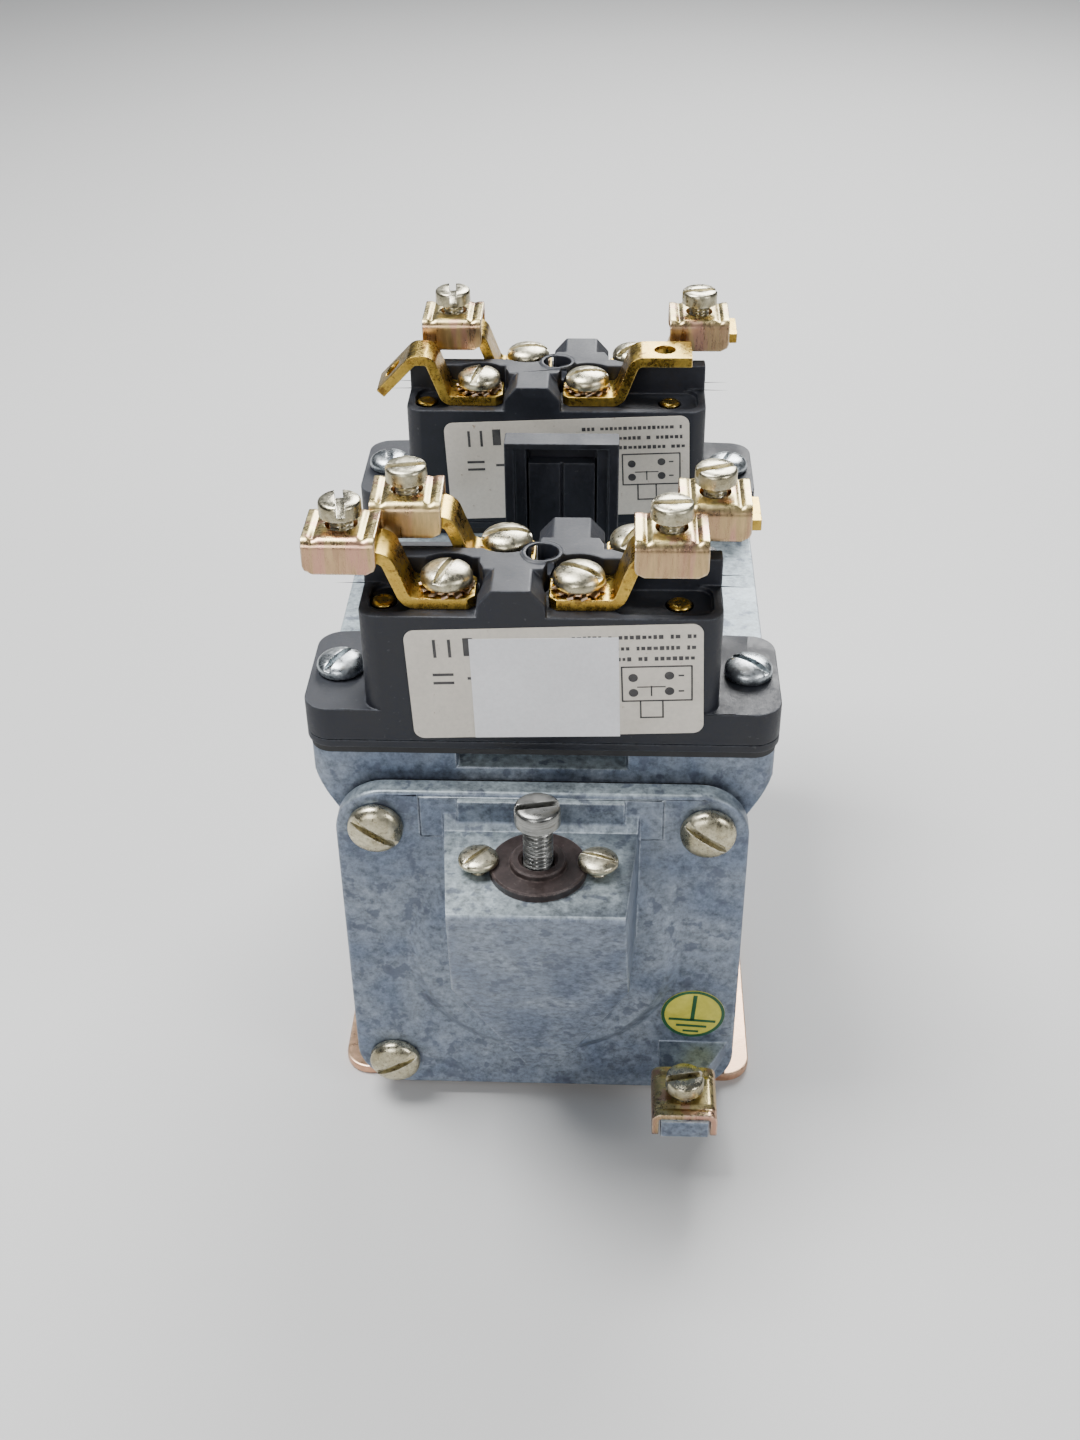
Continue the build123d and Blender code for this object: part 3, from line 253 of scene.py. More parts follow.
def blendColour(tree, amount, first, second, kind="MIX"):
    mix = tree.nodes.new("ShaderNodeMixRGB")
    mix.blend_type = kind
    for socket, value in ((mix.inputs[0], amount), (mix.inputs[1], first), (mix.inputs[2], second)):
        if isinstance(value, bpy.types.NodeSocket):
            tree.links.new(value, socket)
        elif isinstance(value, tuple):
            socket.default_value = (*value, 1)
        else:
            socket.default_value = value
    return mix.outputs[0]


def makeFinish(name, look):
    finish = bpy.data.materials.new(name)
    finish.use_nodes = True
    tree = finish.node_tree
    shader = tree.nodes["Principled BSDF"]
    place = tree.nodes.new("ShaderNodeTexCoord").outputs["Object"]
    if "stretch" in look:
        place = put(tree, "Mapping", {"Scale": look["stretch"]}, Vector=place)
    normal = tree.nodes.new("ShaderNodeNewGeometry").outputs["Normal"]
    patches = put(tree, "TexNoise", {"Scale": look["patch"], "Detail": 5, "Distortion": 0.7}, Vector=place)
    grain = put(tree, "TexNoise", {"Scale": look["grain"], "Detail": 6, "Roughness": 0.7}, Vector=place)
    colour = blendColour(tree, spread(tree, patches, 0.36, 0.64, 0, 1), look["low"], look["high"])
    # painted light: faces that point upwards are blended towards the 'top' colour, a painted highlight from
    # above
    if "top" in look:
        up = put(tree, "SeparateXYZ", Vector=normal).node.outputs["Z"]
        colour = blendColour(tree, spread(tree, up, 0.45, 0.95, 0, look["topAmount"]), colour, look["top"])
    shade = spread(tree, grain, 0.3, 0.7, 1 - look["grainAmount"], 1 + 0.4 * look["grainAmount"])
    colour = blendColour(tree, 1.0, colour, shade, "MULTIPLY")
    if "spot" in look:
        noise = {"Scale": look["spotScale"], "Detail": 3, "Roughness": 0.6}
        spots = put(tree, "TexNoise", noise, Vector=place)
        speck = spread(tree, spots, look["spotFrom"], look["spotFrom"] + 0.07, 0, look["spotAmount"])
        colour = blendColour(tree, speck, colour, look["spot"])
    # edge wear mixed with a painted highlight: edges found by the Bevel node get the light 'edge' colour, in
    # patches
    if "edge" in look:
        rounded = put(tree, "Bevel", {"Radius": 0.0005}, {"samples": 4})
        along = put(tree, "VectorMath", {}, {"operation": "DOT_PRODUCT"}).node
        tree.links.new(rounded, along.inputs[0])
        tree.links.new(normal, along.inputs[1])
        patchy = spread(tree, grain, 0.40, 0.60, 0.25, 1)
        wornAndLitEdge = put(tree, "Math", {}, {"operation": "MULTIPLY"}).node
        bareAndLitEdge = spread(tree, along.outputs["Value"], 0.985, 0.90, 0, look["edgeAmount"])
        tree.links.new(bareAndLitEdge, wornAndLitEdge.inputs[0])
        tree.links.new(patchy, wornAndLitEdge.inputs[1])
        colour = blendColour(tree, wornAndLitEdge.outputs[0], colour, look["edge"])
    tree.links.new(colour, shader.inputs["Base Color"])
    shine = blendColour(tree, 0.5, patches, grain)
    tree.links.new(spread(tree, shine, 0.4, 0.6, *look["rough"]), shader.inputs["Roughness"])
    bump = put(tree, "Bump", {"Strength": look["bump"], "Distance": look["bumpDepth"] * mm}, Height=grain)
    tree.links.new(bump, shader.inputs["Normal"])
    shader.inputs["Metallic"].default_value = look["metal"]
    return finish


finishes = {name: makeFinish(name, look) for name, look in finishLooks.items()}
print("finishes made:", len(finishes))

finishOfSlot = {
    "zinc_casting": "zincCasting", "chromated_steel": "yellowChromate", "plated_steel": "brightZinc",
    "spring_steel": "springWire", "soft_iron": "softIron", "brass": "stripBrass",
    "copper_wire": "enamelledCopper",
    "black_thermoset": "blackThermoset", "brown_phenolic": "brownPhenolic", "nylon": "naturalNylon",
    "black_rubber": "gasketRubber", "cream_label": "labelPaper", "white_sticker": "stickerPaper",
    "earth_sticker": "earthYellow",
}
for name, part in nodes.items():
    for holder in part.material_slots:
        holder.material = finishes[finishOfSlot[slotOf[name]]]


# mesh helpers

def makePiece(name, bm, finish, node, smooth=35):
    mesh = bpy.data.meshes.new(name)
    bm.to_mesh(mesh)
    bm.free()
    piece = bpy.data.objects.new(name, mesh)
    bpy.context.scene.collection.objects.link(piece)
    return dressPiece(piece, finish, node, smooth)


def dressPiece(piece, finish, node, smooth=35):
    mesh = piece.data
    mesh.materials.clear()
    mesh.materials.append(finishes[finish])
    for face in mesh.polygons:
        face.use_smooth = True
    mesh.set_sharp_from_angle(angle=math.radians(smooth))
    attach(piece, bodyOf[node])
    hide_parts(node)
    return piece


def applyModifiers(piece):
    view = bpy.context.evaluated_depsgraph_get()
    mesh = bpy.data.meshes.new_from_object(piece.evaluated_get(view))
    piece.modifiers.clear()
    piece.data = mesh
    return piece


def looseObject(name, bm):
    mesh = bpy.data.meshes.new(name)
    bmesh.ops.recalc_face_normals(bm, faces=bm.faces)
    bm.to_mesh(mesh)
    bm.free()
    piece = bpy.data.objects.new(name, mesh)
    bpy.context.scene.collection.objects.link(piece)
    return piece


def addBevel(piece, width, segments=2, angle=35):
    bevel = piece.modifiers.new("bevel", "BEVEL")
    bevel.width = width
    bevel.segments = segments
    bevel.limit_method = "ANGLE"
    bevel.angle_limit = math.radians(angle)
    bevel.use_clamp_overlap = False
    steady = piece.modifiers.new("steady", "WEIGHTED_NORMAL")
    steady.keep_sharp = True


def cutAway(piece, cutters):
    for cutter in cutters:
        cut = piece.modifiers.new("cut", "BOOLEAN")
        cut.operation = "DIFFERENCE"
        cut.solver = "EXACT"
        cut.object = cutter
    applyModifiers(piece)
    for cutter in cutters:
        bpy.data.objects.remove(cutter)


def softened(node, width, finish=None, segments=2, angle=35):
    # a copy of the CAD mesh with its seams closed and its sharp edges rounded a little
    bm = bmesh.new()
    bm.from_mesh(nodes[node].data)
    bmesh.ops.remove_doubles(bm, verts=bm.verts, dist=0.002 * mm)
    bmesh.ops.dissolve_limit(bm, angle_limit=math.radians(0.6), verts=bm.verts, edges=bm.edges)
    piece = looseObject(node + ".soft", bm)
    for face in piece.data.polygons:
        face.use_smooth = True
    addBevel(piece, width, segments, angle)
    applyModifiers(piece)
    return dressPiece(piece, finish or finishOfSlot[slotOf[node]], node)


def solidBoxes(node):
    # the box of each separate solid in a node, from front to back and left to right
    mesh = nodes[node].data
    keys = [tuple(round(c * 1e6) for c in v.co) for v in mesh.vertices]
    parent = {key: key for key in keys}

    def root(key):
        while parent[key] != key:
            parent[key] = parent[parent[key]]
            key = parent[key]
        return key

    for face in mesh.polygons:
        first = root(keys[face.vertices[0]])
        for index in face.vertices[1:]:
            parent[root(keys[index])] = first
            first = root(first)
    groups = {}
    for key, vertex in zip(keys, mesh.vertices):
        groups.setdefault(root(key), []).append(vertex.co)
    boxes = []
    for points in groups.values():
        low = Vector([min(p[i] for p in points) for i in range(3)])
        high = Vector([max(p[i] for p in points) for i in range(3)])
        boxes.append((low, high))
    return sorted(boxes, key=lambda b: (round(b[0].y * 1000), b[0].x))


def lathe(bm, profile, steps=40):
    rings = []
    for radius, height in profile:
        if radius < 1e-7:
            rings.append([bm.verts.new((0, 0, height))] * steps)
        else:
            angles = [2 * math.pi * i / steps for i in range(steps)]
            rings.append([bm.verts.new((radius * math.cos(a), radius * math.sin(a), height)) for a in angles])
    for low, high in zip(rings, rings[1:]):
        for i in range(steps):
            j = (i + 1) % steps
            corners = []
            for vertex in (low[i], low[j], high[j], high[i]):
                if vertex not in corners:
                    corners.append(vertex)
            bm.faces.new(corners)


def boxMesh(bm, low, high):
    size = [h - l for l, h in zip(low, high)]
    middle = [(l + h) / 2 for l, h in zip(low, high)]
    bmesh.ops.create_cube(bm, size=1, matrix=Matrix.Translation(middle) @ Matrix.Diagonal((*size, 1)))


def pour(bm, extra):
    # adds one loose mesh to another
    spare = bpy.data.meshes.new("spare")
    extra.to_mesh(spare)
    extra.free()
    bm.from_mesh(spare)
    bpy.data.meshes.remove(spare)


def threadMesh(bm, outer, depth, pitch, low, high, steps=28, rows=6):
    # a tube whose radius rises and falls along a right-hand helix
    count = max(2, round((high - low) / pitch * rows))
    profile = []
    for k in range(count + 1):
        z = low + (high - low) * k / count
        ring = []
        for i in range(steps):
            turn = i / steps
            phase = (z / pitch - turn) % 1
            crest = 1 - abs(2 * phase - 1)
            fade = min(1, (z - low) / pitch, (high - z) / (0.5 * pitch))
            radius = outer - depth * (1 - min(1, 1.35 * crest) * max(0, fade))
            around = 2 * math.pi * turn
            ring.append(bm.verts.new((radius * math.cos(around), radius * math.sin(around), z)))
        profile.append(ring)
    for below, above in zip(profile, profile[1:]):
        for i in range(steps):
            j = (i + 1) % steps
            bm.faces.new((below[i], below[j], above[j], above[i]))
    bm.faces.new(list(reversed(profile[0])))
    bm.faces.new(profile[-1])


def panProfile(headR, headH, shankR):
    side = 0.28
    points = [
        (0, -0.2 * mm), (shankR, -0.2 * mm), (shankR, 0), (0.96 * headR, 0), (headR, 0.1 * headH),
        (headR, side * headH),
    ]
    for k in range(1, 9):
        a = math.radians(90 * k / 9)
        points.append((headR * math.cos(a) ** 0.85, headH * (side + (1 - side) * math.sin(a) ** 0.85)))
    return points + [(0, headH)]


def cheeseProfile(headR, headH, shankR):
    rim = 0.14 * headH
    return [
        (0, -0.2 * mm), (shankR, -0.2 * mm), (shankR, 0), (headR - 0.4 * rim, 0), (headR, 0.4 * rim),
        (headR, headH - 1.6 * rim), (headR - 0.25 * rim, headH - 0.7 * rim), (headR - 1.1 * rim, headH),
        (0.5 * headR, headH + 0.02 * mm), (0, headH + 0.02 * mm),
    ]


def slottedScrew(name, look):
    # a screw along Z with its head's underside at zero
    bm = bmesh.new()
    shape = panProfile if look["head"] == "pan" else cheeseProfile
    lathe(bm, shape(look["headR"] * mm, look["headH"] * mm, look["shankR"] * mm), 48)
    screw = looseObject(name, bm)
    bm = bmesh.new()
    top = look["headH"] * mm
    reach = 1.5 * look["headR"] * mm
    half = look["slotW"] / 2 * mm
    boxMesh(bm, (-reach, -half, top * (1 - look["slotDepth"])), (reach, half, 2 * top))
    cutAway(screw, [looseObject("slot", bm)])
    addBevel(screw, look.get("wear", 0.07) * mm, 2, 50)
    applyModifiers(screw)
    bm = bmesh.new()
    bm.from_mesh(screw.data)
    length = look["shankL"] * mm
    threadMesh(bm, look["shankR"] * mm, 0.6 * look["pitch"] * mm, look["pitch"] * mm, -length, -0.05 * mm)
    bm.to_mesh(screw.data)
    bm.free()
    bpy.context.scene.collection.objects.unlink(screw)
    return screw


def copyPiece(name, master, matrix, finish, node):
    mesh = master.data.copy()
    mesh.transform(matrix)
    piece = bpy.data.objects.new(name, mesh)
    bpy.context.scene.collection.objects.link(piece)
    return dressPiece(piece, finish, node)


def uprightPlace(box, turn, lift=0.0):
    low, high = box
    return shift((low.x + high.x) / 2, (low.y + high.y) / 2, lift) @ spin(turn, "Z")


# castings and mouldings with their edges rounded

softLook = {
    "zinc_body": 0.5, "front_cover": 0.35, "front_block_case": 0.32, "rear_block_case": 0.32,
    "block_base_plates": 0.25, "guide_frame": 0.3, "drive_bar": 0.25, "mounting_plate": 0.45, "lever": 0.3,
    "front_carrier": 0.2, "rear_carrier": 0.2, "yoke": 0.3,
}
for name, width in softLook.items():
    softened(name, width * mm, "plateChromate" if name == "mounting_plate" else None)
for block in ("front", "rear"):
    for number in (1, 2, 3, 4):
        softened(f"{block}_strip_{number}", 0.22 * mm)
print("castings and strips rounded")


# terminal screws and toothed washers

terminalScrew = {"head": "pan", "headR": 4.2, "headH": 2.85, "shankR": 1.96, "shankL": 5.5, "slotW": 1.25,
                 "slotDepth": 0.5, "pitch": 0.7}
screwTurns = [72, -28, 8, 62, 78, 12, 8, 40]
washerLook = {"inner": 2.2, "ring": 3.35, "tip": 4.45, "thick": 0.42, "teeth": 12, "toothW": 1.15,
              "twist": 24, "lift": 0.22, "sunk": 0.25}


def toothedWasher(look):
    bm = bmesh.new()
    low, high = look["lift"] * mm, (look["lift"] + look["thick"]) * mm
    section = [(look["inner"], low), (look["ring"], low), (look["ring"], high), (look["inner"], high)]
    steps = 36
    angles = [2 * math.pi * i / steps for i in range(steps)]
    loops = []
    for r, z in section:
        radius = r * mm
        loops.append([bm.verts.new((radius * math.cos(a), radius * math.sin(a), z)) for a in angles])
    for a, b in zip(loops, loops[1:] + loops[:1]):
        for i in range(steps):
            j = (i + 1) % steps
            bm.faces.new((a[i], a[j], b[j], b[i]))
    halfWide, halfThick = look["toothW"] / 2 * mm, look["thick"] / 2 * mm
    for k in range(look["teeth"]):
        tooth = bmesh.new()
        root = (look["ring"] - look["sunk"]) * mm
        boxMesh(tooth, (root, -halfWide, -halfThick), (look["tip"] * mm, halfWide, halfThick))
        tooth.transform(spin(look["twist"], "X"))
        tooth.transform(shift(0, 0, (low + high) / 2))
        tooth.transform(spin(360 * k / look["teeth"], "Z"))
        pour(bm, tooth)
    washer = looseObject("washer", bm)
    addBevel(washer, 0.06 * mm, 1, 50)
    applyModifiers(washer)
    bpy.context.scene.collection.objects.unlink(washer)
    return washer


master = slottedScrew("terminalScrew", terminalScrew)
for i, (box, turn) in enumerate(zip(solidBoxes("terminal_screws"), screwTurns)):
    matrix = uprightPlace(box, turn, box[1].z - terminalScrew["headH"] * mm)
    copyPiece(f"terminalScrew.{i + 1}", master, matrix, "screwChromate", "terminal_screws")
master = toothedWasher(washerLook)
for i, box in enumerate(solidBoxes("star_washers")):
    matrix = uprightPlace(box, 13 * i, box[0].z)
    copyPiece(f"starWasher.{i + 1}", master, matrix, "washerSteel", "star_washers")
print("terminal screws and washers made")


# clamp saddles: a bent plate with two pressed grooves and a hole for the screw

saddleLook = {"bend": 1.7, "thick": 1.2, "grooveAt": 3.9, "grooveHalf": 0.75, "grooveDeep": 0.38,
              "corner": 1.6, "hole": 2.55}


def saddleMaster(look, length, width, height):
    thick, bend = look["thick"] * mm, look["bend"] * mm
    outer, normals = [], []
    legRows = 6
    for k in range(legRows):
        outer.append((-width / 2, -height + (height - bend) * k / legRows))
        normals.append((-1, 0))
    for k in range(9):
        a = math.radians(180 - 90 * k / 8)
        outer.append((-width / 2 + bend + bend * math.cos(a), -bend + bend * math.sin(a)))
        normals.append((math.cos(a), math.sin(a)))
    flatRows = 7
    for k in range(1, flatRows):
        outer.append((-width / 2 + bend + (width - 2 * bend) * k / flatRows, 0))
        normals.append((0, 1))
    mirrored = [(-y, z) for y, z in reversed(outer[:9 + legRows])]
    mirroredNormals = [(-y, z) for y, z in reversed(normals[:9 + legRows])]
    outer, normals = outer + mirrored, normals + mirroredNormals
    corner = look["corner"] * mm
    grooveAt, grooveHalf = look["grooveAt"] * mm, look["grooveHalf"] * mm
    marks = [-1 + 2 * k / 44 for k in range(45)]

    def point(u, j, inset):
        y, z = outer[j]
        ny, nz = normals[j]
        near = max(0.0, corner - (z + height))
        half = length / 2 - (corner - math.sqrt(max(0.0, corner ** 2 - near ** 2)))
        x = u * half
        off = abs(abs(x) - grooveAt) / grooveHalf
        dip = look["grooveDeep"] * mm * max(0.0, 1 - off) * max(0.0, nz) ** 4
        step = inset if inset else dip
        return (x, y - ny * step, z - nz * step)

    bm = bmesh.new()
    skin = [[bm.verts.new(point(u, j, 0)) for j in range(len(outer))] for u in marks]
    lining = [[bm.verts.new(point(u, j, thick)) for j in range(len(outer))] for u in marks]
    last = len(outer) - 1
    for i in range(len(marks) - 1):
        for j in range(last):
            bm.faces.new((skin[i][j], skin[i + 1][j], skin[i + 1][j + 1], skin[i][j + 1]))
            bm.faces.new((lining[i][j], lining[i][j + 1], lining[i + 1][j + 1], lining[i + 1][j]))
        bm.faces.new((skin[i][0], lining[i][0], lining[i + 1][0], skin[i + 1][0]))
        bm.faces.new((skin[i][last], skin[i + 1][last], lining[i + 1][last], lining[i][last]))
    for i in (0, len(marks) - 1):
        for j in range(last):
            corners = (skin[i][j], skin[i][j + 1], lining[i][j + 1], lining[i][j])
            bm.faces.new(corners if i == 0 else tuple(reversed(corners)))
    saddle = looseObject("saddle", bm)
    bm = bmesh.new()
    hole = look["hole"] * mm
    bmesh.ops.create_cone(bm, cap_ends=True, segments=36, radius1=hole, radius2=hole, depth=6 * thick)
    cutAway(saddle, [looseObject("hole", bm)])
    addBevel(saddle, 0.1 * mm, 2, 50)
    applyModifiers(saddle)
    bpy.context.scene.collection.objects.unlink(saddle)
    return saddle


low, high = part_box("front_saddle_1")
master = saddleMaster(saddleLook, high.x - low.x, high.y - low.y, high.z - low.z)
saddles = [name for name in sorted(nodes) if "_saddle" in name]
for name in saddles:
    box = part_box(name)
    turn = 90 if name == "earth_saddle" else rng.uniform(-1.5, 1.5)
    copyPiece(name + ".bent", master, uprightPlace(box, turn, box[1].z), "yellowChromate", name)
print("saddles made:", len(saddles))

clampScrew = {"head": "cheese", "headR": 3.4, "headH": 2.6, "shankR": 1.93, "slotW": 1.3, "slotDepth": 0.62,
              "pitch": 0.7, "wear": 0.1}
clampTurns = {
    "front_clamp_screw_1": 100, "front_clamp_screw_2": 5, "front_clamp_screw_3": 10,
    "front_clamp_screw_4": 20, "rear_clamp_screw_3": 95, "rear_clamp_screw_4": 10,
    "earth_clamp_screw": 12,
}
for name, turn in clampTurns.items():
    low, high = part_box(name)
    shank = (high.z - low.z) / mm - clampScrew["headH"]
    master = slottedScrew(name, {**clampScrew, "shankL": shank})
    matrix = uprightPlace((low, high), turn, high.z - clampScrew["headH"] * mm)
    copyPiece(name + ".cut", master, matrix, "screwChromate", name)
print("clamp screws made:", len(clampTurns))


# screws of the cover, bush, flanges and frame

coverScrew = {"head": "pan", "headR": 4.7, "headH": 2.95, "shankR": 2.45, "shankL": 8, "slotW": 1.25,
              "slotDepth": 0.5, "pitch": 0.8}
coverTurns = [30, -35, -35]
master = slottedScrew("coverScrew", coverScrew)
facing = spin(90, "X")
boxes = sorted(solidBoxes("cover_screws"), key=lambda b: (b[0].z, b[0].x))
for i, ((low, high), turn) in enumerate(zip(boxes, coverTurns)):
    middle = (low + high) / 2
    seat = shift(middle.x, low.y + coverScrew["headH"] * mm, middle.z)
    matrix = seat @ facing @ spin(turn, "Z")
    copyPiece(f"coverScrew.{i + 1}", master, matrix, "screwChromate", "cover_screws")

smallScrews = {
    "bush_screws": {"head": "pan", "headR": 3.3, "headH": 1.55, "shankR": 1.46, "shankL": 4, "slotW": 0.95,
                    "slotDepth": 0.5, "pitch": 0.5, "turns": [50, -20], "finish": "screwChromate"},
    "flange_screws": {"head": "pan", "headR": 4.05, "headH": 2.75, "shankR": 1.95, "shankL": 6, "slotW": 1.15,
                      "slotDepth": 0.5, "pitch": 0.7, "turns": [60, -40, 100, 70], "finish": "brightZinc"},
    "frame_screws": {"head": "pan", "headR": 2.75, "headH": 1.75, "shankR": 1.44, "shankL": 3, "slotW": 0.8,
                     "slotDepth": 0.5, "pitch": 0.5, "turns": [25, 60], "finish": "brightZinc"},
}
for name, look in smallScrews.items():
    master = slottedScrew(name, look)
    for i, (box, turn) in enumerate(zip(solidBoxes(name), look["turns"])):
        matrix = uprightPlace(box, turn, box[1].z - look["headH"] * mm)
        copyPiece(f"{name}.{i + 1}", master, matrix, look["finish"], name)
print("small screws made")


# setting screw and its bush

settingScrew = {"head": "cheese", "headR": 3.75, "headH": 3.45, "shankR": 2.45, "slotW": 1.25,
                "slotDepth": 0.5, "pitch": 0.8, "wear": 0.12}
low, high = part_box("setting_screw")
shank = (high.z - low.z) / mm - settingScrew["headH"]
master = slottedScrew("settingScrew", {**settingScrew, "shankL": shank})
matrix = uprightPlace((low, high), 12, high.z - settingScrew["headH"] * mm)
copyPiece("settingScrew", master, matrix, "turnedSteel", "setting_screw")

bushLook = {"rimR": 8.0, "rimH": 1.5, "bossR": 4.7, "bossH": 1.0, "bodyR": 4.9, "boreR": 2.6}


def bushPiece(look):
    low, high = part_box("setting_bush")
    top = (high.z - low.z) / mm
    rim = top - look["bossH"]
    under = rim - look["rimH"]
    outline = [
        (look["boreR"], 0), (look["bodyR"], 0), (look["bodyR"], under), (look["rimR"], under),
        (look["rimR"], rim - 0.25), (look["rimR"] - 0.25, rim), (look["bossR"], rim),
        (look["bossR"] - 0.12, top - 0.2), (look["bossR"] - 0.35, top), (look["boreR"] + 0.7, top),
        (look["boreR"] + 0.15, top - 0.45), (look["boreR"], top - 0.9), (look["boreR"], 0),
    ]
    bm = bmesh.new()
    lathe(bm, [(r * mm, z * mm) for r, z in outline], 56)
    bmesh.ops.remove_doubles(bm, verts=bm.verts, dist=0.001 * mm)
    bmesh.ops.recalc_face_normals(bm, faces=bm.faces)
    bm.transform(uprightPlace((low, high), 0, low.z))
    return makePiece("settingBush", bm, "brownPhenolic", "setting_bush", 30)


bushPiece(bushLook)
print("setting screw and bush made")


# springs, as copies of their CAD meshes

springLook = {
    "return_spring": {"joint": "armature_slide", "end": "top", "travel": 3.0},
    "bias_spring": {"joint": "setting_travel", "end": "bottom", "travel": 2.4},
}
for name, look in springLook.items():
    low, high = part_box(name)
    spring = bpy.data.objects.new(name + ".wound", nodes[name].data.copy())
    bpy.context.scene.collection.objects.link(spring)
    dressPiece(spring, "springWire", name, 60)
    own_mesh(spring)
print("springs made:", len(springLook))


# coil winding with its turns of wire

windingLook = {"wire": 0.9, "waves": 5}


def windingPiece(look):
    low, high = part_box("coil_winding")
    radius = (high.x - low.x) / 2
    inner = radius * 0.55
    turns = int((high.z - low.z) / (look["wire"] * mm))
    profile = [(inner, low.z)]
    for k in range(turns * look["waves"]):
        t = k / (turns * look["waves"])
        ripple = abs(math.sin(math.pi * t * turns))
        profile.append((radius - 0.5 * look["wire"] * mm * (1 - ripple), low.z + (high.z - low.z) * t))
    profile += [(inner, high.z), (inner, low.z)]
    bm = bmesh.new()
    lathe(bm, profile, 48)
    bmesh.ops.remove_doubles(bm, verts=bm.verts, dist=0.001 * mm)
    bmesh.ops.recalc_face_normals(bm, faces=bm.faces)
    bm.transform(shift((low.x + high.x) / 2, (low.y + high.y) / 2, 0))
    return makePiece("coilWinding", bm, "enamelledCopper", "coil_winding", 60)


windingPiece(windingLook)
print("coil winding made")


# printing on the labels: plain bars, dots and a contact diagram, with no lettering

printLook = {
    "thick": 0.03, "dotR": 0.78, "dots": [(12.5, 0.6), (12.5, -2.3), (18.3, 0.9), (18.3, -2.1)],
    "rows": [(3.0, 22.5, 8.3), (3.0, 22.2, 6.2), (3.0, 22.5, 4.2)], "stroke": (0.45, 0.75), "gap": 0.28,
    "rowH": 0.8, "lean": -2.4,
    "bars": [
        (16.3, 2.7, 11.4, 0.28), (16.3, -3.9, 11.4, 0.28), (21.9, -0.6, 0.28, 6.6), (10.7, -0.6, 0.28, 6.6),
        (15.4, -1.2, 4.6, 0.2), (15.4, -2.0, 0.25, 2.0), (13.6, -5.6, 0.28, 3.4), (17.2, -5.6, 0.28, 3.4),
        (15.4, -7.2, 3.9, 0.28), (20.2, 0.9, 0.9, 0.3), (20.2, -2.1, 0.9, 0.3),
        (-19.0, 7.0, 0.5, 3.4), (-16.6, 7.0, 0.5, 3.4), (-13.6, 7.2, 1.6, 3.4), (-18.0, 2.0, 3.4, 0.5),
        (-18.0, 0.4, 3.4, 0.5), (-13.0, 1.2, 2.2, 0.5), (-9.0, 7.2, 3.2, 0.5), (-9.0, 5.6, 3.2, 0.5),
    ],
}


def bars(bm, look, half):
    for x, z, width, height in look["bars"]:
        boxMesh(bm, ((x - width / 2) * mm, -half, (z - height / 2) * mm),
                ((x + width / 2) * mm, half, (z + height / 2) * mm))


def printPiece(block, look):
    labels = solidBoxes("block_labels")
    low, high = labels[0] if block == "front" else labels[1]
    half = look["thick"] / 2 * mm
    bm = bmesh.new()
    bars(bm, look, half)
    for start, end, z in look["rows"]:
        x = start
        while x < end:
            width = rng.uniform(*look["stroke"])
            tall = look["rowH"] * rng.uniform(0.7, 1)
            boxMesh(bm, (x * mm, -half, (z - tall / 2) * mm), ((x + width) * mm, half, (z + tall / 2) * mm))
            x += width + look["gap"] * (4 if rng.random() < 0.13 else 1)
    dotR = look["dotR"] * mm
    for x, z in look["dots"]:
        place = shift(x * mm, 0, z * mm) @ spin(90, "X")
        bmesh.ops.create_cone(bm, cap_ends=True, segments=20, radius1=dotR, radius2=dotR, depth=2 * half,
                              matrix=place)
    middle = (low + high) / 2
    bm.transform(shift(middle.x, low.y - half, middle.z) @ spin(look["lean"], "Y"))
    piece = looseObject(block + "LabelPrint", bm)
    piece.data.materials.append(finishes["labelInk"])
    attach(piece, bodyOf["block_labels"])


for block in ("front", "rear"):
    printPiece(block, printLook)

earthLook = {
    "rim": 5.78, "band": 0.6, "thick": 0.03, "turn": 4,
    "bars": [(0, 1.6, 0.75, 6.2), (0, -1.5, 8.6, 0.6), (0, -2.95, 5.6, 0.55), (0, -4.3, 2.9, 0.5)],
}


def earthMark(look):
    low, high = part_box("earth_sticker")
    half = look["thick"] / 2 * mm
    bm = bmesh.new()
    bars(bm, look, half)
    rim, inner = look["rim"] * mm, (look["rim"] - look["band"]) * mm
    ring = bmesh.new()
    lathe(ring, [(inner, -half), (rim, -half), (rim, half), (inner, half), (inner, -half)], 56)
    bmesh.ops.remove_doubles(ring, verts=ring.verts, dist=0.001 * mm)
    ring.transform(spin(90, "X"))
    pour(bm, ring)
    middle = (low + high) / 2
    bm.transform(shift(middle.x, low.y - half, middle.z) @ spin(look["turn"], "Y"))
    piece = looseObject("earthMark", bm)
    piece.data.materials.append(finishes["earthGreen"])
    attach(piece, bodyOf["earth_sticker"])


earthMark(earthLook)
print("label printing and earth mark made")


# rivet eyelets over the studs of the fixed contacts

eyeletLook = {"outer": 2.0, "inner": 0.75, "rim": 0.2, "high": 0.55, "sunk": 0.45, "outerStud": 25.4,
              "innerStud": 22.1, "row": 5.85}


def eyeletMaster(look):
    bm = bmesh.new()
    inner, outer, high = look["inner"] * mm, look["outer"] * mm, look["high"] * mm
    section = [(inner, 0), (outer, 0), (outer, look["rim"] * mm), (0.75 * outer, high),
               (1.25 * inner, 0.85 * high), (inner, 0.3 * high), (inner, 0)]
    lathe(bm, section, 28)
    bmesh.ops.remove_doubles(bm, verts=bm.verts, dist=0.001 * mm)
    return looseObject("eyelet", bm)


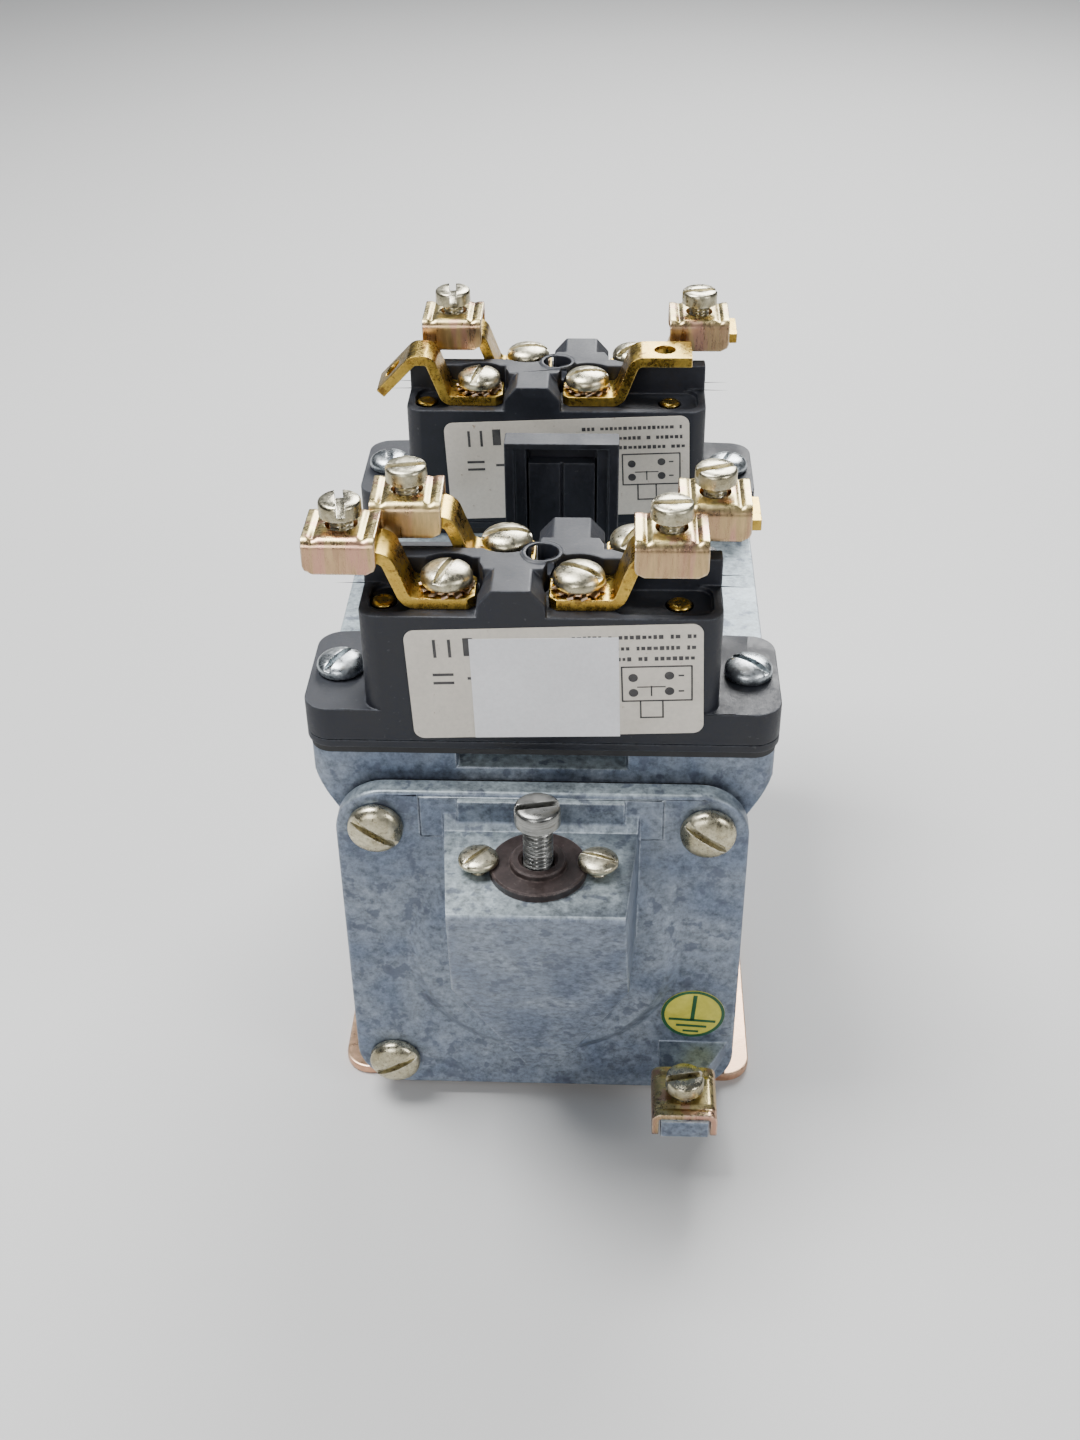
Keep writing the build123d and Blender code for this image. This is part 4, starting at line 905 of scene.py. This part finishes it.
master = eyeletMaster(eyeletLook)
bpy.context.scene.collection.objects.unlink(master)
outerStud, innerStud = eyeletLook["outerStud"] * mm, eyeletLook["innerStud"] * mm
studs = [(-outerStud, -1), (innerStud, -1), (-innerStud, 1), (outerStud, 1)]
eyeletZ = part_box("fixed_contacts")[1].z - eyeletLook["sunk"] * mm
for block in ("front", "rear"):
    low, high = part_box(block + "_block_case")
    middle = (low + high) / 2
    for i, (x, side) in enumerate(studs):
        mesh = master.data.copy()
        mesh.transform(shift(middle.x + x, middle.y + side * eyeletLook["row"] * mm, eyeletZ))
        piece = bpy.data.objects.new(f"{block}Eyelet.{i + 1}", mesh)
        bpy.context.scene.collection.objects.link(piece)
        piece.data.materials.append(finishes["stripBrass"])
        for face in mesh.polygons:
            face.use_smooth = True
        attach(piece, bodyOf["fixed_contacts"])
print("eyelets made")


# floor and lights

floorLook = {"size": 4.0, "colour": (0.62, 0.62, 0.61), "shade": (0.56, 0.56, 0.555)}


def addFloor(look):
    bm = bmesh.new()
    bmesh.ops.create_grid(bm, x_segments=1, y_segments=1, size=look["size"] / 2)
    bm.transform(shift(0, 0, cadBox[0][2]))
    floor = looseObject("floor", bm)
    paint = bpy.data.materials.new("floorPaint")
    paint.use_nodes = True
    tree = paint.node_tree
    shader = tree.nodes["Principled BSDF"]
    place = tree.nodes.new("ShaderNodeTexCoord").outputs["Object"]
    cloud = put(tree, "TexNoise", {"Scale": 3, "Detail": 3}, Vector=place)
    tree.links.new(blendColour(tree, cloud, look["colour"], look["shade"]), shader.inputs["Base Color"])
    shader.inputs["Roughness"].default_value = 0.55
    floor.data.materials.append(paint)


lampLook = {
    "key": {"place": (-0.28, 0.02, 0.75), "size": 0.36, "power": 10},
    "fill": {"place": (0.60, -0.45, 0.45), "size": 0.25, "power": 2.5},
    "back": {"place": (0.15, 0.60, 0.55), "size": 0.40, "power": 8},
    "front": {"place": (-0.25, -0.80, 0.35), "size": 0.30, "power": 2.6},
}
roomLook = {"low": (0.10, 0.11, 0.13), "high": (0.75, 0.79, 0.86), "strength": 0.36, "bandScale": 1.6,
            "bands": (0.35, 1.25)}


def addLamps(looks):
    target = Vector((0, 0, 0.06))
    for name, look in looks.items():
        lamp = bpy.data.objects.new(name, bpy.data.lights.new(name, "AREA"))
        lamp.data.energy = look["power"]
        lamp.data.size = look["size"]
        aim = (target - Vector(look["place"])).to_track_quat("-Z", "Y")
        lamp.matrix_world = Matrix.Translation(look["place"]) @ aim.to_matrix().to_4x4()
        bpy.context.scene.collection.objects.link(lamp)
    world = bpy.data.worlds.new("studio")
    bpy.context.scene.world = world
    world.use_nodes = True
    tree = world.node_tree
    place = tree.nodes.new("ShaderNodeTexCoord").outputs["Generated"]
    height = put(tree, "SeparateXYZ", Vector=place).node.outputs["Z"]
    sky = blendColour(tree, spread(tree, height, -0.15, 0.75, 0, 1), roomLook["low"], roomLook["high"])
    bands = put(tree, "TexNoise", {"Scale": roomLook["bandScale"], "Detail": 1}, Vector=place)
    sky = blendColour(tree, 1.0, sky, spread(tree, bands, 0.40, 0.60, *roomLook["bands"]), "MULTIPLY")
    tree.links.new(sky, tree.nodes["Background"].inputs["Color"])
    tree.nodes["Background"].inputs["Strength"].default_value = roomLook["strength"]


addFloor(floorLook)
addLamps(lampLook)
print("floor and lamps placed")
